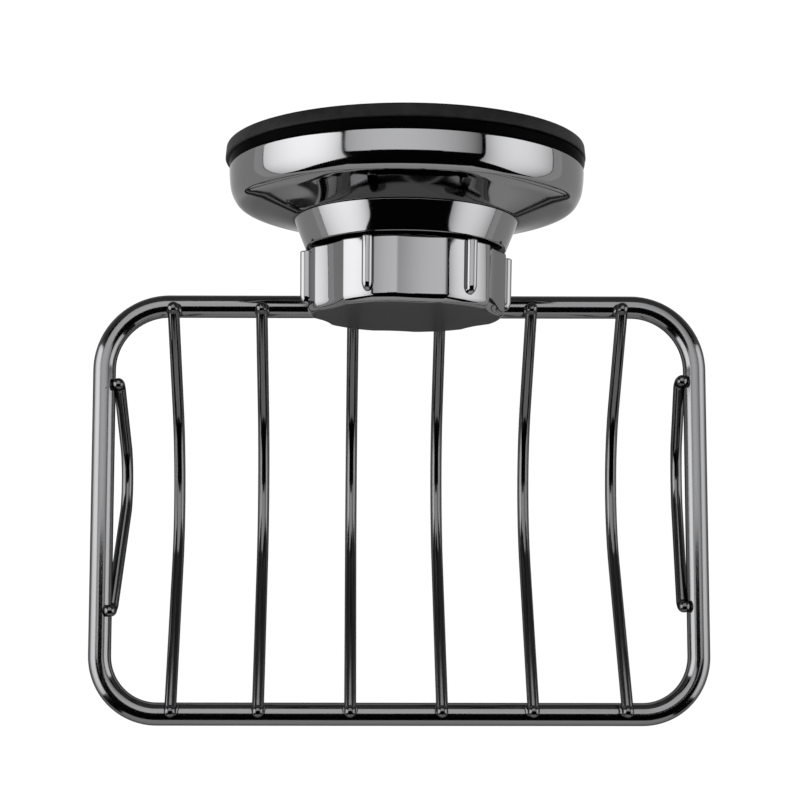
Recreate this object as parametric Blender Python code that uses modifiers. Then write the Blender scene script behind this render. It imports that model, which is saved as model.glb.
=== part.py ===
"""Suction soap dish: a rubber suction pad under a chrome cover, a fluted screw knob, and a wire basket
that hangs from a plate clamped between the cover's collar and the knob.

Frame: the origin is the centre of the pad's flat wall face. +Y points into the wall, so everything else
lies at negative Y. +X is to the right and +Z is up, as seen by someone who faces the wall.
"Out" in a name is a distance from the wall, along -Y. Lengths are in metres.
"""

import math

import bmesh
import bpy
from mathutils import Vector

MM = 0.001

# Clearances shared by neighbouring pieces
GAP = 0.3 * MM
CUT_OVERRUN = 1.0 * MM
MERGE_DISTANCE = 0.01 * MM

# Screw thread and how far it draws the middle of the pad away from the wall
STUD_RADIUS = 3.0 * MM
STUD_BORE_CLEARANCE = 0.4 * MM
THREAD_BORE_CLEARANCE = 0.3 * MM
STUD_TRAVEL = 2.5 * MM
STUD_FLANGE_RADIUS = 9.0 * MM
STUD_FLANGE_THICKNESS = 1.6 * MM
STUD_TIP_CHAMFER = 0.8 * MM
STUD_END_ROOM = 0.6 * MM

# Rubber suction pad
PAD_LIP = 0.4 * MM
PAD_RIM_THICKNESS = 3.0 * MM
PAD_EDGE_ROUND = 0.5 * MM
PAD_FLOOR = 2.4 * MM
PAD_WEB_THICKNESS = 2.2 * MM
PAD_RIM_WIDTH = 4.6 * MM
PAD_RIM_RAMP = 1.5 * MM
PAD_BOSS_WALL = 2.6 * MM
PAD_BOSS_DRAFT = 1.2 * MM
PAD_BOSS_ROOF = 1.2 * MM

# Black pressure frame between the pad's rim and the cover
FRAME_SETBACK = 0.5 * MM
FRAME_FLANGE_THICKNESS = 1.4 * MM
FRAME_WALL = 1.6 * MM
FRAME_FLANGE_WIDTH = 7.7 * MM
FRAME_RING_SETBACK = 0.4 * MM
FRAME_HUB_WALL = 3.0 * MM
FRAME_WEB_THICKNESS = 1.5 * MM

# Chrome cover
COVER_RADIUS = 37.2 * MM
COVER_WALL = 1.6 * MM
COVER_RIM_HEIGHT = 4.3 * MM
COVER_RIM_TAPER = 0.3 * MM
COVER_CORNER_RADIUS = 2.7 * MM
COVER_FACE_RISE = 3.0 * MM
COVER_FACE_STRAIGHT_SHARE = 0.75
COVER_FACE_STEPS = 4
COVER_HUB_SETBACK = 1.4 * MM
COVER_HOLE_RADIUS = 12.2 * MM

# Conical collar
COLLAR_FLARE = 2.5 * MM
COLLAR_FRONT_RADIUS = 20.9 * MM
COLLAR_LENGTH = 6.1 * MM
COLLAR_EDGE_ROUND = 0.5 * MM
COLLAR_WALL = 1.8 * MM
COLLAR_SPIGOT_LENGTH = 3.0 * MM

# Washers on the two sides of the hanger plate
FRICTION_WASHER_SETBACK = 1.3 * MM
FRICTION_WASHER_THICKNESS = 0.8 * MM
BEARING_WASHER_SETBACK = 0.5 * MM
BEARING_WASHER_THICKNESS = 0.8 * MM

# Hanger plate, a stamped eye with a tongue that is jogged forward to the rail
HANGER_THICKNESS = 0.9 * MM
HANGER_EYE_SETBACK = 6.9 * MM
HANGER_TONGUE_SETBACK = 2.0 * MM
HANGER_JOG = 3.5 * MM
HANGER_TONGUE_BELOW_RAIL = 3.6 * MM
HANGER_CORNER_RADIUS = 2.0 * MM

# Fluted knob
KNOB_LENGTH = 12.7 * MM
KNOB_RADIUS = 20.5 * MM
KNOB_TAPER = 0.2 * MM
KNOB_FLUTE_DEPTH = 1.1 * MM
KNOB_FLUTE_HALF_DEG = 13.75
KNOB_RIDGES = 6
KNOB_FIRST_RIDGE_DEG = 55.0
KNOB_RIDGE_RADIUS = 1.2 * MM
KNOB_RIDGE_STAND = 1.6 * MM
KNOB_RIDGE_END_SETBACK = 2.0 * MM
KNOB_RIDGE_END_LENGTH = 2.0 * MM
KNOB_EDGE_ROUND = 1.2 * MM
KNOB_REAR_CHAMFER = 0.3 * MM
KNOB_FRONT_WALL = 1.6 * MM
KNOB_SIDE_WALL = 2.0 * MM
KNOB_POST_WALL = 3.38 * MM
KNOB_RIDGE_POINTS = 9
KNOB_FLUTE_POINTS = 6
KNOB_SKIN_POINTS = 2

# Brass nut held in the knob's post
NUT_WALL = 2.0 * MM
NUT_LENGTH = 6.0 * MM

# Wire basket
RAIL_DIAMETER = 5.0 * MM
RAIL_WIDTH = 131.1 * MM
RAIL_DEPTH = 89.45 * MM
RAIL_BELOW_KNOB = 5.8 * MM
RAIL_REAR_CORNER = 14.2 * MM
RAIL_FRONT_CORNER = 12.6 * MM
WIRE_DIAMETER = 2.6 * MM
CROSS_WIRES = 6
CROSS_SIDE_MARGIN = 16.175 * MM
CROSS_ROW_SHIFT = -0.8 * MM
CROSS_SAG = 16.0 * MM
CROSS_LOW_SHARE = 0.46
CROSS_TIP_OVERHANG = 1.4 * MM
SIDE_REAR_INSET = 17.6 * MM
SIDE_FRONT_INSET = 23.1 * MM
SIDE_TIP_LEAN_DEG = 40.27
SIDE_SAG = 10.0 * MM
SIDE_LOW_SHARE = 0.40

# Facet counts
TURN_STEPS = 48
SMALL_TURN_STEPS = 32
ARC_STEPS = 4
RAIL_CORNER_STEPS = 8
WIRE_STEPS = 22
TIP_STEPS = 3
TIP_LAST_DEG = 84.0
RAIL_BEVEL_RESOLUTION = 3
WIRE_BEVEL_RESOLUTION = 2
SMOOTH_DEG = 35.0
CONTACT_ROUNDS = 8

# Radii, worked out from the sizes above
STUD_BORE_RADIUS = STUD_RADIUS + STUD_BORE_CLEARANCE
THREAD_BORE_RADIUS = STUD_RADIUS + THREAD_BORE_CLEARANCE
PAD_RADIUS = COVER_RADIUS + PAD_LIP
PAD_RIM_INNER_RADIUS = PAD_RADIUS - PAD_RIM_WIDTH
PAD_WEB_OUTER_RADIUS = PAD_RIM_INNER_RADIUS - PAD_RIM_RAMP
FRAME_RADIUS = COVER_RADIUS - FRAME_SETBACK
FRAME_FLANGE_INNER_RADIUS = FRAME_RADIUS - FRAME_FLANGE_WIDTH
COVER_RIM_FRONT_RADIUS = COVER_RADIUS - COVER_RIM_TAPER
COLLAR_REAR_RADIUS = COLLAR_FRONT_RADIUS + COLLAR_FLARE
COLLAR_SPIGOT_RADIUS = COVER_HOLE_RADIUS - GAP
COVER_HUB_RADIUS = COLLAR_REAR_RADIUS - COVER_HUB_SETBACK
HANGER_EYE_RADIUS = COLLAR_FRONT_RADIUS - HANGER_EYE_SETBACK
HANGER_TONGUE_WIDTH = 2 * (HANGER_EYE_RADIUS - HANGER_TONGUE_SETBACK)
FRICTION_WASHER_RADIUS = HANGER_EYE_RADIUS - FRICTION_WASHER_SETBACK
NUT_ACROSS_FLATS = 2 * (STUD_RADIUS + NUT_WALL)
NUT_POCKET_ACROSS_FLATS = NUT_ACROSS_FLATS + 2 * GAP
KNOB_POST_RADIUS = NUT_POCKET_ACROSS_FLATS / math.sqrt(3) + KNOB_POST_WALL
BEARING_WASHER_RADIUS = KNOB_POST_RADIUS - BEARING_WASHER_SETBACK
KNOB_CAVITY_RADIUS = KNOB_RADIUS - KNOB_FLUTE_DEPTH - KNOB_SIDE_WALL
KNOB_CREST_RADIUS = KNOB_RADIUS + KNOB_RIDGE_STAND

# Distances from the wall
PAD_CAVITY_RADIUS = STUD_FLANGE_RADIUS + GAP
PAD_BOSS_RADIUS = PAD_CAVITY_RADIUS + PAD_BOSS_WALL
STUD_FLANGE_REAR_OUT = PAD_FLOOR + GAP
STUD_FLANGE_FRONT_OUT = STUD_FLANGE_REAR_OUT + STUD_FLANGE_THICKNESS
PAD_CAVITY_ROOF_OUT = STUD_FLANGE_FRONT_OUT + GAP
PAD_BOSS_TOP_OUT = PAD_CAVITY_ROOF_OUT + PAD_BOSS_ROOF
FRAME_REAR_OUT = PAD_RIM_THICKNESS + GAP
FRAME_FLANGE_FRONT_OUT = FRAME_REAR_OUT + FRAME_FLANGE_THICKNESS
COVER_REAR_OUT = FRAME_FLANGE_FRONT_OUT + GAP
COVER_CORNER_OUT = COVER_REAR_OUT + COVER_RIM_HEIGHT
COVER_FACE_OUT = COVER_CORNER_OUT + COVER_CORNER_RADIUS
COVER_FRONT_OUT = COVER_FACE_OUT + COVER_FACE_RISE
FRAME_RING_FRONT_OUT = COVER_CORNER_OUT - FRAME_RING_SETBACK
FRAME_WEB_FRONT_OUT = COVER_FACE_OUT - COVER_WALL - GAP
FRAME_WEB_REAR_OUT = FRAME_WEB_FRONT_OUT - FRAME_WEB_THICKNESS
COLLAR_REAR_OUT = COVER_FRONT_OUT + GAP
COLLAR_FRONT_OUT = COLLAR_REAR_OUT + COLLAR_LENGTH
HANGER_REAR_OUT = COLLAR_FRONT_OUT + GAP
HANGER_FRONT_OUT = HANGER_REAR_OUT + HANGER_THICKNESS
FRICTION_WASHER_FRONT_OUT = HANGER_REAR_OUT - GAP
FRICTION_WASHER_REAR_OUT = FRICTION_WASHER_FRONT_OUT - FRICTION_WASHER_THICKNESS
COLLAR_RECESS_OUT = FRICTION_WASHER_REAR_OUT - GAP
COLLAR_SPIGOT_REAR_OUT = COLLAR_REAR_OUT - COLLAR_SPIGOT_LENGTH
KNOB_REAR_OUT = HANGER_FRONT_OUT + GAP
KNOB_FRONT_OUT = KNOB_REAR_OUT + KNOB_LENGTH
KNOB_CAVITY_FRONT_OUT = KNOB_FRONT_OUT - KNOB_FRONT_WALL
BEARING_WASHER_REAR_OUT = HANGER_FRONT_OUT + GAP
BEARING_WASHER_FRONT_OUT = BEARING_WASHER_REAR_OUT + BEARING_WASHER_THICKNESS
NUT_REAR_OUT = BEARING_WASHER_FRONT_OUT + GAP
NUT_FRONT_OUT = NUT_REAR_OUT + NUT_LENGTH
STUD_TIP_OUT = KNOB_CAVITY_FRONT_OUT - STUD_TRAVEL - STUD_END_ROOM

# Places in the basket
RAIL_RADIUS = RAIL_DIAMETER / 2
WIRE_RADIUS = WIRE_DIAMETER / 2
WIRE_REACH = RAIL_RADIUS + WIRE_RADIUS + GAP
RAIL_DROP = KNOB_CREST_RADIUS + RAIL_BELOW_KNOB
HANGER_JOG_HEIGHT = -(KNOB_CREST_RADIUS + 2 * GAP)
RAIL_REAR_OUT = HANGER_FRONT_OUT + HANGER_JOG + GAP + RAIL_RADIUS
RAIL_FRONT_OUT = RAIL_REAR_OUT + RAIL_DEPTH
CROSS_PITCH = (RAIL_WIDTH - 2 * CROSS_SIDE_MARGIN) / (CROSS_WIRES - 1)
SIDE_TIP_RISE = WIRE_REACH * math.sin(math.radians(SIDE_TIP_LEAN_DEG))


def material(name, colour, roughness, metallic=0.0):
    """Return a Principled material with one colour, roughness and metallic value."""
    made = bpy.data.materials.new(name)
    made.use_nodes = True
    shader = made.node_tree.nodes["Principled BSDF"]
    shader.inputs["Base Color"].default_value = (*colour, 1.0)
    shader.inputs["Roughness"].default_value = roughness
    shader.inputs["Metallic"].default_value = metallic
    made.diffuse_color = (*colour, 1.0)
    return made


def clear_scene():
    """Remove every object, so that a second run starts afresh."""
    for old in list(bpy.data.objects):
        bpy.data.objects.remove(old)


def collection(name):
    """Return a new collection linked to the scene."""
    made = bpy.data.collections.new(name)
    bpy.context.scene.collection.children.link(made)
    return made


def empty(name, home):
    """Return an empty at the stud axis, the parent of one group of pieces."""
    made = bpy.data.objects.new(name, None)
    made.empty_display_size = PAD_RADIUS
    home.objects.link(made)
    return made


def place(data, name, home, parent=None, surface=None):
    """Wrap data in an object in its collection, with its parent and its material."""
    made = bpy.data.objects.new(name, data)
    home.objects.link(made)
    made.parent = parent
    if surface:
        data.materials.append(surface)
    return made


def shade(made):
    """Shade a mesh object smooth, with its real edges kept sharp."""
    made.data.shade_smooth()
    made.data.set_sharp_from_angle(angle=math.radians(SMOOTH_DEG))


def arc(centre_radius, centre_out, radius, start_deg, end_deg, steps=ARC_STEPS):
    """Return the points of an arc in a turned profile, from start_deg to end_deg, where 0 is outward."""
    points = []
    for step in range(steps + 1):
        angle = math.radians(start_deg + (end_deg - start_deg) * step / steps)
        points.append((centre_radius + radius * math.cos(angle), centre_out + radius * math.sin(angle)))
    return points


def turned(name, profile, home, parent=None, surface=None, steps=TURN_STEPS):
    """Turn a profile of (radius, out) points about the stud axis.

    The profile runs down its outer side. One whose ends lie on the axis stays open there; any other one
    is closed into a ring.
    """
    mesh = bpy.data.meshes.new(name)
    shape = bmesh.new()
    points = [shape.verts.new((radius, 0, out)) for radius, out in profile]
    for first, second in zip(points, points[1:]):
        shape.edges.new((first, second))
    if profile[0][0] > 0:
        shape.edges.new((points[-1], points[0]))
    shape.to_mesh(mesh)
    shape.free()
    made = place(mesh, name, home, parent, surface)
    made.rotation_euler = (math.radians(90), 0, 0)
    screw = made.modifiers.new("turn", "SCREW")
    screw.axis = "Z"
    screw.steps = steps
    screw.render_steps = steps
    screw.use_merge_vertices = True
    screw.merge_threshold = MERGE_DISTANCE
    screw.use_smooth_shade = True
    return made


def cutter(made):
    """Mark an object as a cutter, which is no piece of the part."""
    made.hide_render = True
    made.display_type = "WIRE"
    return made


def cut(target, tool):
    """Cut the tool's shape out of the target."""
    boolean = target.modifiers.new(tool.name, "BOOLEAN")
    boolean.operation = "DIFFERENCE"
    boolean.solver = "EXACT"
    boolean.object = tool


def suction_pad(home, parent, surface):
    """Rubber pad: a flat wall face, a thick rim, a thin web and a boss that holds the stud's flange."""
    profile = [
        (0, PAD_FLOOR),
        (PAD_CAVITY_RADIUS, PAD_FLOOR),
        (PAD_CAVITY_RADIUS, PAD_CAVITY_ROOF_OUT),
        (STUD_BORE_RADIUS, PAD_CAVITY_ROOF_OUT),
        (STUD_BORE_RADIUS, PAD_BOSS_TOP_OUT),
        (PAD_BOSS_RADIUS, PAD_BOSS_TOP_OUT),
        (PAD_BOSS_RADIUS + PAD_BOSS_DRAFT, PAD_WEB_THICKNESS),
        (PAD_WEB_OUTER_RADIUS, PAD_WEB_THICKNESS),
        (PAD_RIM_INNER_RADIUS, PAD_RIM_THICKNESS),
    ]
    edge_radius = PAD_RADIUS - PAD_EDGE_ROUND
    profile += arc(edge_radius, PAD_RIM_THICKNESS - PAD_EDGE_ROUND, PAD_EDGE_ROUND, 90, 0)
    profile += arc(edge_radius, PAD_EDGE_ROUND, PAD_EDGE_ROUND, 0, -90)
    profile.append((0, 0))
    return turned("suction_pad", profile, home, parent, surface)


def screw_stud(home, parent, surface):
    """Steel stud with a flange moulded into the pad's boss and a shank that ends inside the knob."""
    profile = [
        (0, STUD_TIP_OUT),
        (STUD_RADIUS - STUD_TIP_CHAMFER, STUD_TIP_OUT),
        (STUD_RADIUS, STUD_TIP_OUT - STUD_TIP_CHAMFER),
        (STUD_RADIUS, STUD_FLANGE_FRONT_OUT),
        (STUD_FLANGE_RADIUS, STUD_FLANGE_FRONT_OUT),
        (STUD_FLANGE_RADIUS, STUD_FLANGE_REAR_OUT),
        (0, STUD_FLANGE_REAR_OUT),
    ]
    return turned("screw_stud", profile, home, parent, surface, SMALL_TURN_STEPS)


def pressure_frame(home, parent, surface):
    """Black frame: its flange presses on the pad's rim, its ring centres the cover, its hub guides the stud."""
    ring_outer = COVER_RIM_FRONT_RADIUS - COVER_WALL - GAP
    ring_inner = ring_outer - FRAME_WALL
    hub_radius = STUD_BORE_RADIUS + FRAME_HUB_WALL
    hub_front = COLLAR_SPIGOT_REAR_OUT - GAP
    profile = [
        (STUD_BORE_RADIUS, hub_front),
        (hub_radius, hub_front),
        (hub_radius, FRAME_WEB_FRONT_OUT),
        (ring_inner, FRAME_WEB_FRONT_OUT),
        (ring_inner, FRAME_RING_FRONT_OUT),
        (ring_outer, FRAME_RING_FRONT_OUT),
        (ring_outer, FRAME_FLANGE_FRONT_OUT),
        (FRAME_RADIUS, FRAME_FLANGE_FRONT_OUT),
        (FRAME_RADIUS, FRAME_REAR_OUT),
        (FRAME_FLANGE_INNER_RADIUS, FRAME_REAR_OUT),
        (FRAME_FLANGE_INNER_RADIUS, FRAME_WEB_REAR_OUT),
        (STUD_BORE_RADIUS, FRAME_WEB_REAR_OUT),
    ]
    return turned("pressure_frame", profile, home, parent, surface)


def cover_face_out(radius, inset=0.0):
    """Height of the cover's slightly hollow front face at a radius, set back by a wall's inset."""
    outer = COVER_RIM_FRONT_RADIUS - COVER_CORNER_RADIUS
    share = (outer - radius) / (outer - COVER_HUB_RADIUS)
    rise = COVER_FACE_STRAIGHT_SHARE * share + (1 - COVER_FACE_STRAIGHT_SHARE) * share**2
    return COVER_FACE_OUT + COVER_FACE_RISE * rise - inset


def cover_dome(home, parent, surface):
    """Chrome cover: an upright rim, a rounded corner and a front face that rises to a flat hub."""
    corner = COVER_RIM_FRONT_RADIUS - COVER_CORNER_RADIUS
    radii = []
    for step in range(COVER_FACE_STEPS + 1):
        radii.append(COVER_HUB_RADIUS + (corner - COVER_HUB_RADIUS) * step / COVER_FACE_STEPS)
    profile = [(COVER_HOLE_RADIUS, COVER_FRONT_OUT)]
    profile += [(radius, cover_face_out(radius)) for radius in radii[:-1]]
    profile += arc(corner, COVER_CORNER_OUT, COVER_CORNER_RADIUS, 90, 0)
    profile += [(COVER_RADIUS, COVER_REAR_OUT), (COVER_RADIUS - COVER_WALL, COVER_REAR_OUT)]
    profile += arc(corner, COVER_CORNER_OUT, COVER_CORNER_RADIUS - COVER_WALL, 0, 90)
    profile += [(radius, cover_face_out(radius, COVER_WALL)) for radius in reversed(radii[:-1])]
    profile.append((COVER_HOLE_RADIUS, COVER_FRONT_OUT - COVER_WALL))
    return turned("cover_dome", profile, home, parent, surface)


def neck_collar(home, parent, surface):
    """Conical chrome collar with a spigot that centres it in the cover and a recess for the washer."""
    front_wall_rear = COLLAR_RECESS_OUT - COLLAR_WALL
    recess_radius = FRICTION_WASHER_RADIUS + GAP
    profile = [
        (STUD_BORE_RADIUS, COLLAR_RECESS_OUT),
        (recess_radius, COLLAR_RECESS_OUT),
        (recess_radius, COLLAR_FRONT_OUT),
    ]
    edge_radius = COLLAR_FRONT_RADIUS - COLLAR_EDGE_ROUND
    profile += arc(edge_radius, COLLAR_FRONT_OUT - COLLAR_EDGE_ROUND, COLLAR_EDGE_ROUND, 90, 0)
    profile += [
        (COLLAR_REAR_RADIUS, COLLAR_REAR_OUT),
        (COLLAR_REAR_RADIUS - COLLAR_WALL, COLLAR_REAR_OUT),
        (COLLAR_FRONT_RADIUS - COLLAR_WALL, front_wall_rear),
        (COLLAR_SPIGOT_RADIUS, front_wall_rear),
        (COLLAR_SPIGOT_RADIUS, COLLAR_SPIGOT_REAR_OUT),
        (STUD_BORE_RADIUS, COLLAR_SPIGOT_REAR_OUT),
    ]
    return turned("neck_collar", profile, home, parent, surface)


def washer(name, radius, rear_out, thickness, home, parent, surface):
    """Flat ring round the stud."""
    front_out = rear_out + thickness
    profile = [
        (STUD_BORE_RADIUS, front_out),
        (radius, front_out),
        (radius, rear_out),
        (STUD_BORE_RADIUS, rear_out),
    ]
    return turned(name, profile, home, parent, surface, SMALL_TURN_STEPS)


def add_spline(curve, points, cyclic=False, shares=None):
    """Add a POLY spline through 3-D points, with a share of the curve's radius at each point."""
    spline = curve.splines.new("POLY")
    spline.points.add(len(points) - 1)
    for index, (target, point) in enumerate(zip(spline.points, points)):
        target.co = (*point, 1.0)
        target.radius = shares[index] if shares else 1.0
    spline.use_cyclic_u = cyclic
    return spline


def curve_to_mesh(made):
    """Return the curve object as a mesh object with its caps welded on, and remove the curve."""
    graph = bpy.context.evaluated_depsgraph_get()
    mesh = bpy.data.meshes.new_from_object(made.evaluated_get(graph))
    shape = bmesh.new()
    shape.from_mesh(mesh)
    bmesh.ops.remove_doubles(shape, verts=shape.verts, dist=MERGE_DISTANCE)
    shape.to_mesh(mesh)
    shape.free()
    name, home, parent, matrix = made.name, made.users_collection[0], made.parent, made.matrix_world.copy()
    bpy.data.objects.remove(made)
    mesh.name = name
    solid = place(mesh, name, home, parent)
    solid.matrix_world = matrix
    return solid


def hanger_outline():
    """Outline of the flat plate in (x, height): the eye's circle, running into the tongue's two sides."""
    half = HANGER_TONGUE_WIDTH / 2
    foot = -(RAIL_DROP + HANGER_TONGUE_BELOW_RAIL)
    meet = math.degrees(math.asin(half / HANGER_EYE_RADIUS))
    points = arc(0, 0, HANGER_EYE_RADIUS, meet - 90, 270 - meet, 4 * ARC_STEPS)
    inner = half - HANGER_CORNER_RADIUS
    points += arc(-inner, foot + HANGER_CORNER_RADIUS, HANGER_CORNER_RADIUS, 180, 270)
    points += arc(inner, foot + HANGER_CORNER_RADIUS, HANGER_CORNER_RADIUS, 270, 360)
    return points


def hanger_plate(home, parent, surface):
    """Stamped plate with a round eye for the stud and a tongue jogged forward to the back of the rail."""
    curve = bpy.data.curves.new("hanger_plate", "CURVE")
    curve.dimensions = "2D"
    curve.fill_mode = "BOTH"
    curve.extrude = HANGER_THICKNESS / 2
    add_spline(curve, [(x, height, 0) for x, height in hanger_outline()], cyclic=True)
    hole = arc(0, 0, STUD_BORE_RADIUS, 0, 360, SMALL_TURN_STEPS)[:-1]
    add_spline(curve, [(x, height, 0) for x, height in hole], cyclic=True)
    flat = place(curve, "hanger_plate", home, parent)
    flat.rotation_euler = (math.radians(90), 0, 0)
    flat.location = (0, -(HANGER_REAR_OUT + HANGER_THICKNESS / 2), 0)
    bpy.context.view_layer.update()
    plate = curve_to_mesh(flat)
    plate.data.materials.append(surface)
    bend_tongue(plate)
    return plate


def bend_tongue(plate):
    """Cut the plate across at its two bend lines and move what lies below them forward."""
    end = HANGER_JOG_HEIGHT - HANGER_JOG
    shape = bmesh.new()
    shape.from_mesh(plate.data)
    for height in (HANGER_JOG_HEIGHT, end):
        geometry = shape.verts[:] + shape.edges[:] + shape.faces[:]
        bmesh.ops.bisect_plane(shape, geom=geometry, plane_co=(0, height, 0), plane_no=(0, 1, 0),
                               dist=MERGE_DISTANCE)
    for vert in shape.verts:
        share = (HANGER_JOG_HEIGHT - vert.co.y) / HANGER_JOG
        vert.co.z += HANGER_JOG * min(max(share, 0), 1)
    shape.to_mesh(plate.data)
    shape.free()


def knob_angles():
    """Angles round the knob in radians: a ridge, the skin beside it, a flute and the skin before the next."""
    pitch = 2 * math.pi / KNOB_RIDGES
    half_ridge = KNOB_RIDGE_RADIUS / KNOB_RADIUS
    flute_start = pitch / 2 - math.radians(KNOB_FLUTE_HALF_DEG)
    flute_end = pitch / 2 + math.radians(KNOB_FLUTE_HALF_DEG)
    spans = [
        (-half_ridge, half_ridge, KNOB_RIDGE_POINTS - 1),
        (half_ridge, flute_start, KNOB_SKIN_POINTS),
        (flute_start, flute_end, KNOB_FLUTE_POINTS),
        (flute_end, pitch - half_ridge, KNOB_SKIN_POINTS),
    ]
    angles = []
    for ridge in range(KNOB_RIDGES):
        centre = math.radians(KNOB_FIRST_RIDGE_DEG) + ridge * pitch
        for first, last, steps in spans:
            angles += [centre + first + (last - first) * step / steps for step in range(steps)]
    return angles


def knob_radius(angle, ridge_share, inset):
    """Radius of the knob's side at an angle, with the ridges lowered to a share and the skin set in."""
    pitch = 2 * math.pi / KNOB_RIDGES
    offset = (angle - math.radians(KNOB_FIRST_RIDGE_DEG) + pitch / 2) % pitch - pitch / 2
    body = KNOB_RADIUS - inset
    flute_share = (pitch / 2 - abs(offset)) / math.radians(KNOB_FLUTE_HALF_DEG)
    if flute_share < 1:
        return body - KNOB_FLUTE_DEPTH * (1 - flute_share**2)
    across = abs(offset) * KNOB_RADIUS / KNOB_RIDGE_RADIUS
    if across >= 1 or ridge_share <= 0:
        return body
    return body + KNOB_RIDGE_STAND * ridge_share * math.sqrt(1 - across**2)


def knob_stations():
    """Rings from the rear plane to the front one, as (out, ridge share, inset)."""
    stations = [(KNOB_REAR_OUT, 1.0, KNOB_REAR_CHAMFER), (KNOB_REAR_OUT + KNOB_REAR_CHAMFER, 1.0, 0.0)]
    ridge_end = KNOB_FRONT_OUT - KNOB_RIDGE_END_SETBACK
    for step in range(ARC_STEPS + 1):
        angle = math.radians(90) * step / ARC_STEPS
        out = ridge_end - KNOB_RIDGE_END_LENGTH * (1 - math.sin(angle))
        stations.append((out, math.cos(angle), 0.0))
    for step in range(ARC_STEPS + 1):
        angle = math.radians(90) * step / ARC_STEPS
        out = KNOB_FRONT_OUT - KNOB_EDGE_ROUND * (1 - math.sin(angle))
        stations.append((out, 0.0, KNOB_EDGE_ROUND * (1 - math.cos(angle))))
    slope = KNOB_TAPER / KNOB_LENGTH
    return [(out, share, inset + slope * (out - KNOB_REAR_OUT)) for out, share, inset in stations]


def knob_body(home, parent, surface):
    """Fluted body of the knob, lofted through rings whose outline changes along its length."""
    angles = knob_angles()
    mesh = bpy.data.meshes.new("knob_shell")
    shape = bmesh.new()
    rings = []
    for out, ridge_share, inset in knob_stations():
        ring = []
        for angle in angles:
            radius = knob_radius(angle, ridge_share, inset)
            ring.append(shape.verts.new((radius * math.cos(angle), radius * math.sin(angle), out)))
        rings.append(ring)
    for lower, upper in zip(rings, rings[1:]):
        for index in range(len(angles)):
            following = (index + 1) % len(angles)
            shape.faces.new((lower[index], lower[following], upper[following], upper[index]))
    shape.faces.new(list(reversed(rings[0])))
    shape.faces.new(rings[-1])
    shape.to_mesh(mesh)
    shape.free()
    made = place(mesh, "knob_shell", home, parent, surface)
    made.rotation_euler = (math.radians(90), 0, 0)
    return made


def hex_solid(name, across_flats, rear_out, front_out, home, parent=None, surface=None):
    """Six-sided prism round the stud axis."""
    mesh = bpy.data.meshes.new(name)
    shape = bmesh.new()
    corner_radius = across_flats / 2 / math.cos(math.radians(30))
    bmesh.ops.create_cone(shape, cap_ends=True, segments=6, radius1=corner_radius, radius2=corner_radius,
                          depth=front_out - rear_out)
    bmesh.ops.translate(shape, verts=shape.verts, vec=(0, 0, (front_out + rear_out) / 2))
    shape.to_mesh(mesh)
    shape.free()
    made = place(mesh, name, home, parent, surface)
    made.rotation_euler = (math.radians(90), 0, 0)
    return made


def rod(name, radius, rear_out, front_out, home):
    """Plain round cutter along the stud axis."""
    profile = [(0, front_out), (radius, front_out), (radius, rear_out), (0, rear_out)]
    return cutter(turned(name, profile, home, steps=SMALL_TURN_STEPS))


def knob_shell(home, cutters, parent, surface):
    """Knob: the fluted body, hollowed from behind round a post that holds the nut."""
    body = knob_body(home, parent, surface)
    cavity = [
        (KNOB_POST_RADIUS, KNOB_CAVITY_FRONT_OUT),
        (KNOB_CAVITY_RADIUS, KNOB_CAVITY_FRONT_OUT),
        (KNOB_CAVITY_RADIUS, KNOB_REAR_OUT - CUT_OVERRUN),
        (KNOB_POST_RADIUS, KNOB_REAR_OUT - CUT_OVERRUN),
    ]
    cut(body, cutter(turned("knob_cavity", cavity, cutters, steps=SMALL_TURN_STEPS)))
    seat = rod("knob_washer_seat", KNOB_POST_RADIUS + CUT_OVERRUN, KNOB_REAR_OUT - CUT_OVERRUN, NUT_REAR_OUT,
               cutters)
    cut(body, seat)
    pocket = hex_solid("knob_nut_pocket", NUT_POCKET_ACROSS_FLATS, NUT_REAR_OUT - CUT_OVERRUN,
                       NUT_FRONT_OUT + GAP, cutters)
    cut(body, cutter(pocket))
    bore = rod("knob_bore", STUD_BORE_RADIUS, NUT_FRONT_OUT, KNOB_CAVITY_FRONT_OUT, cutters)
    cut(body, bore)
    shade(body)
    return body


def knob_nut(home, cutters, parent, surface):
    """Hexagonal brass nut with the thread's bore."""
    nut = hex_solid("knob_nut", NUT_ACROSS_FLATS, NUT_REAR_OUT, NUT_FRONT_OUT, home, parent, surface)
    cut(nut, rod("nut_bore", THREAD_BORE_RADIUS, NUT_REAR_OUT - CUT_OVERRUN, NUT_FRONT_OUT + CUT_OVERRUN,
                 cutters))
    return nut


def wire(name, points, radius, resolution, home, parent, surface, cyclic=False, shares=None):
    """Round wire along a centreline."""
    curve = bpy.data.curves.new(name, "CURVE")
    curve.dimensions = "3D"
    curve.bevel_depth = radius
    curve.bevel_resolution = resolution
    curve.use_fill_caps = True
    add_spline(curve, points, cyclic, shares)
    return place(curve, name, home, parent, surface)


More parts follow.
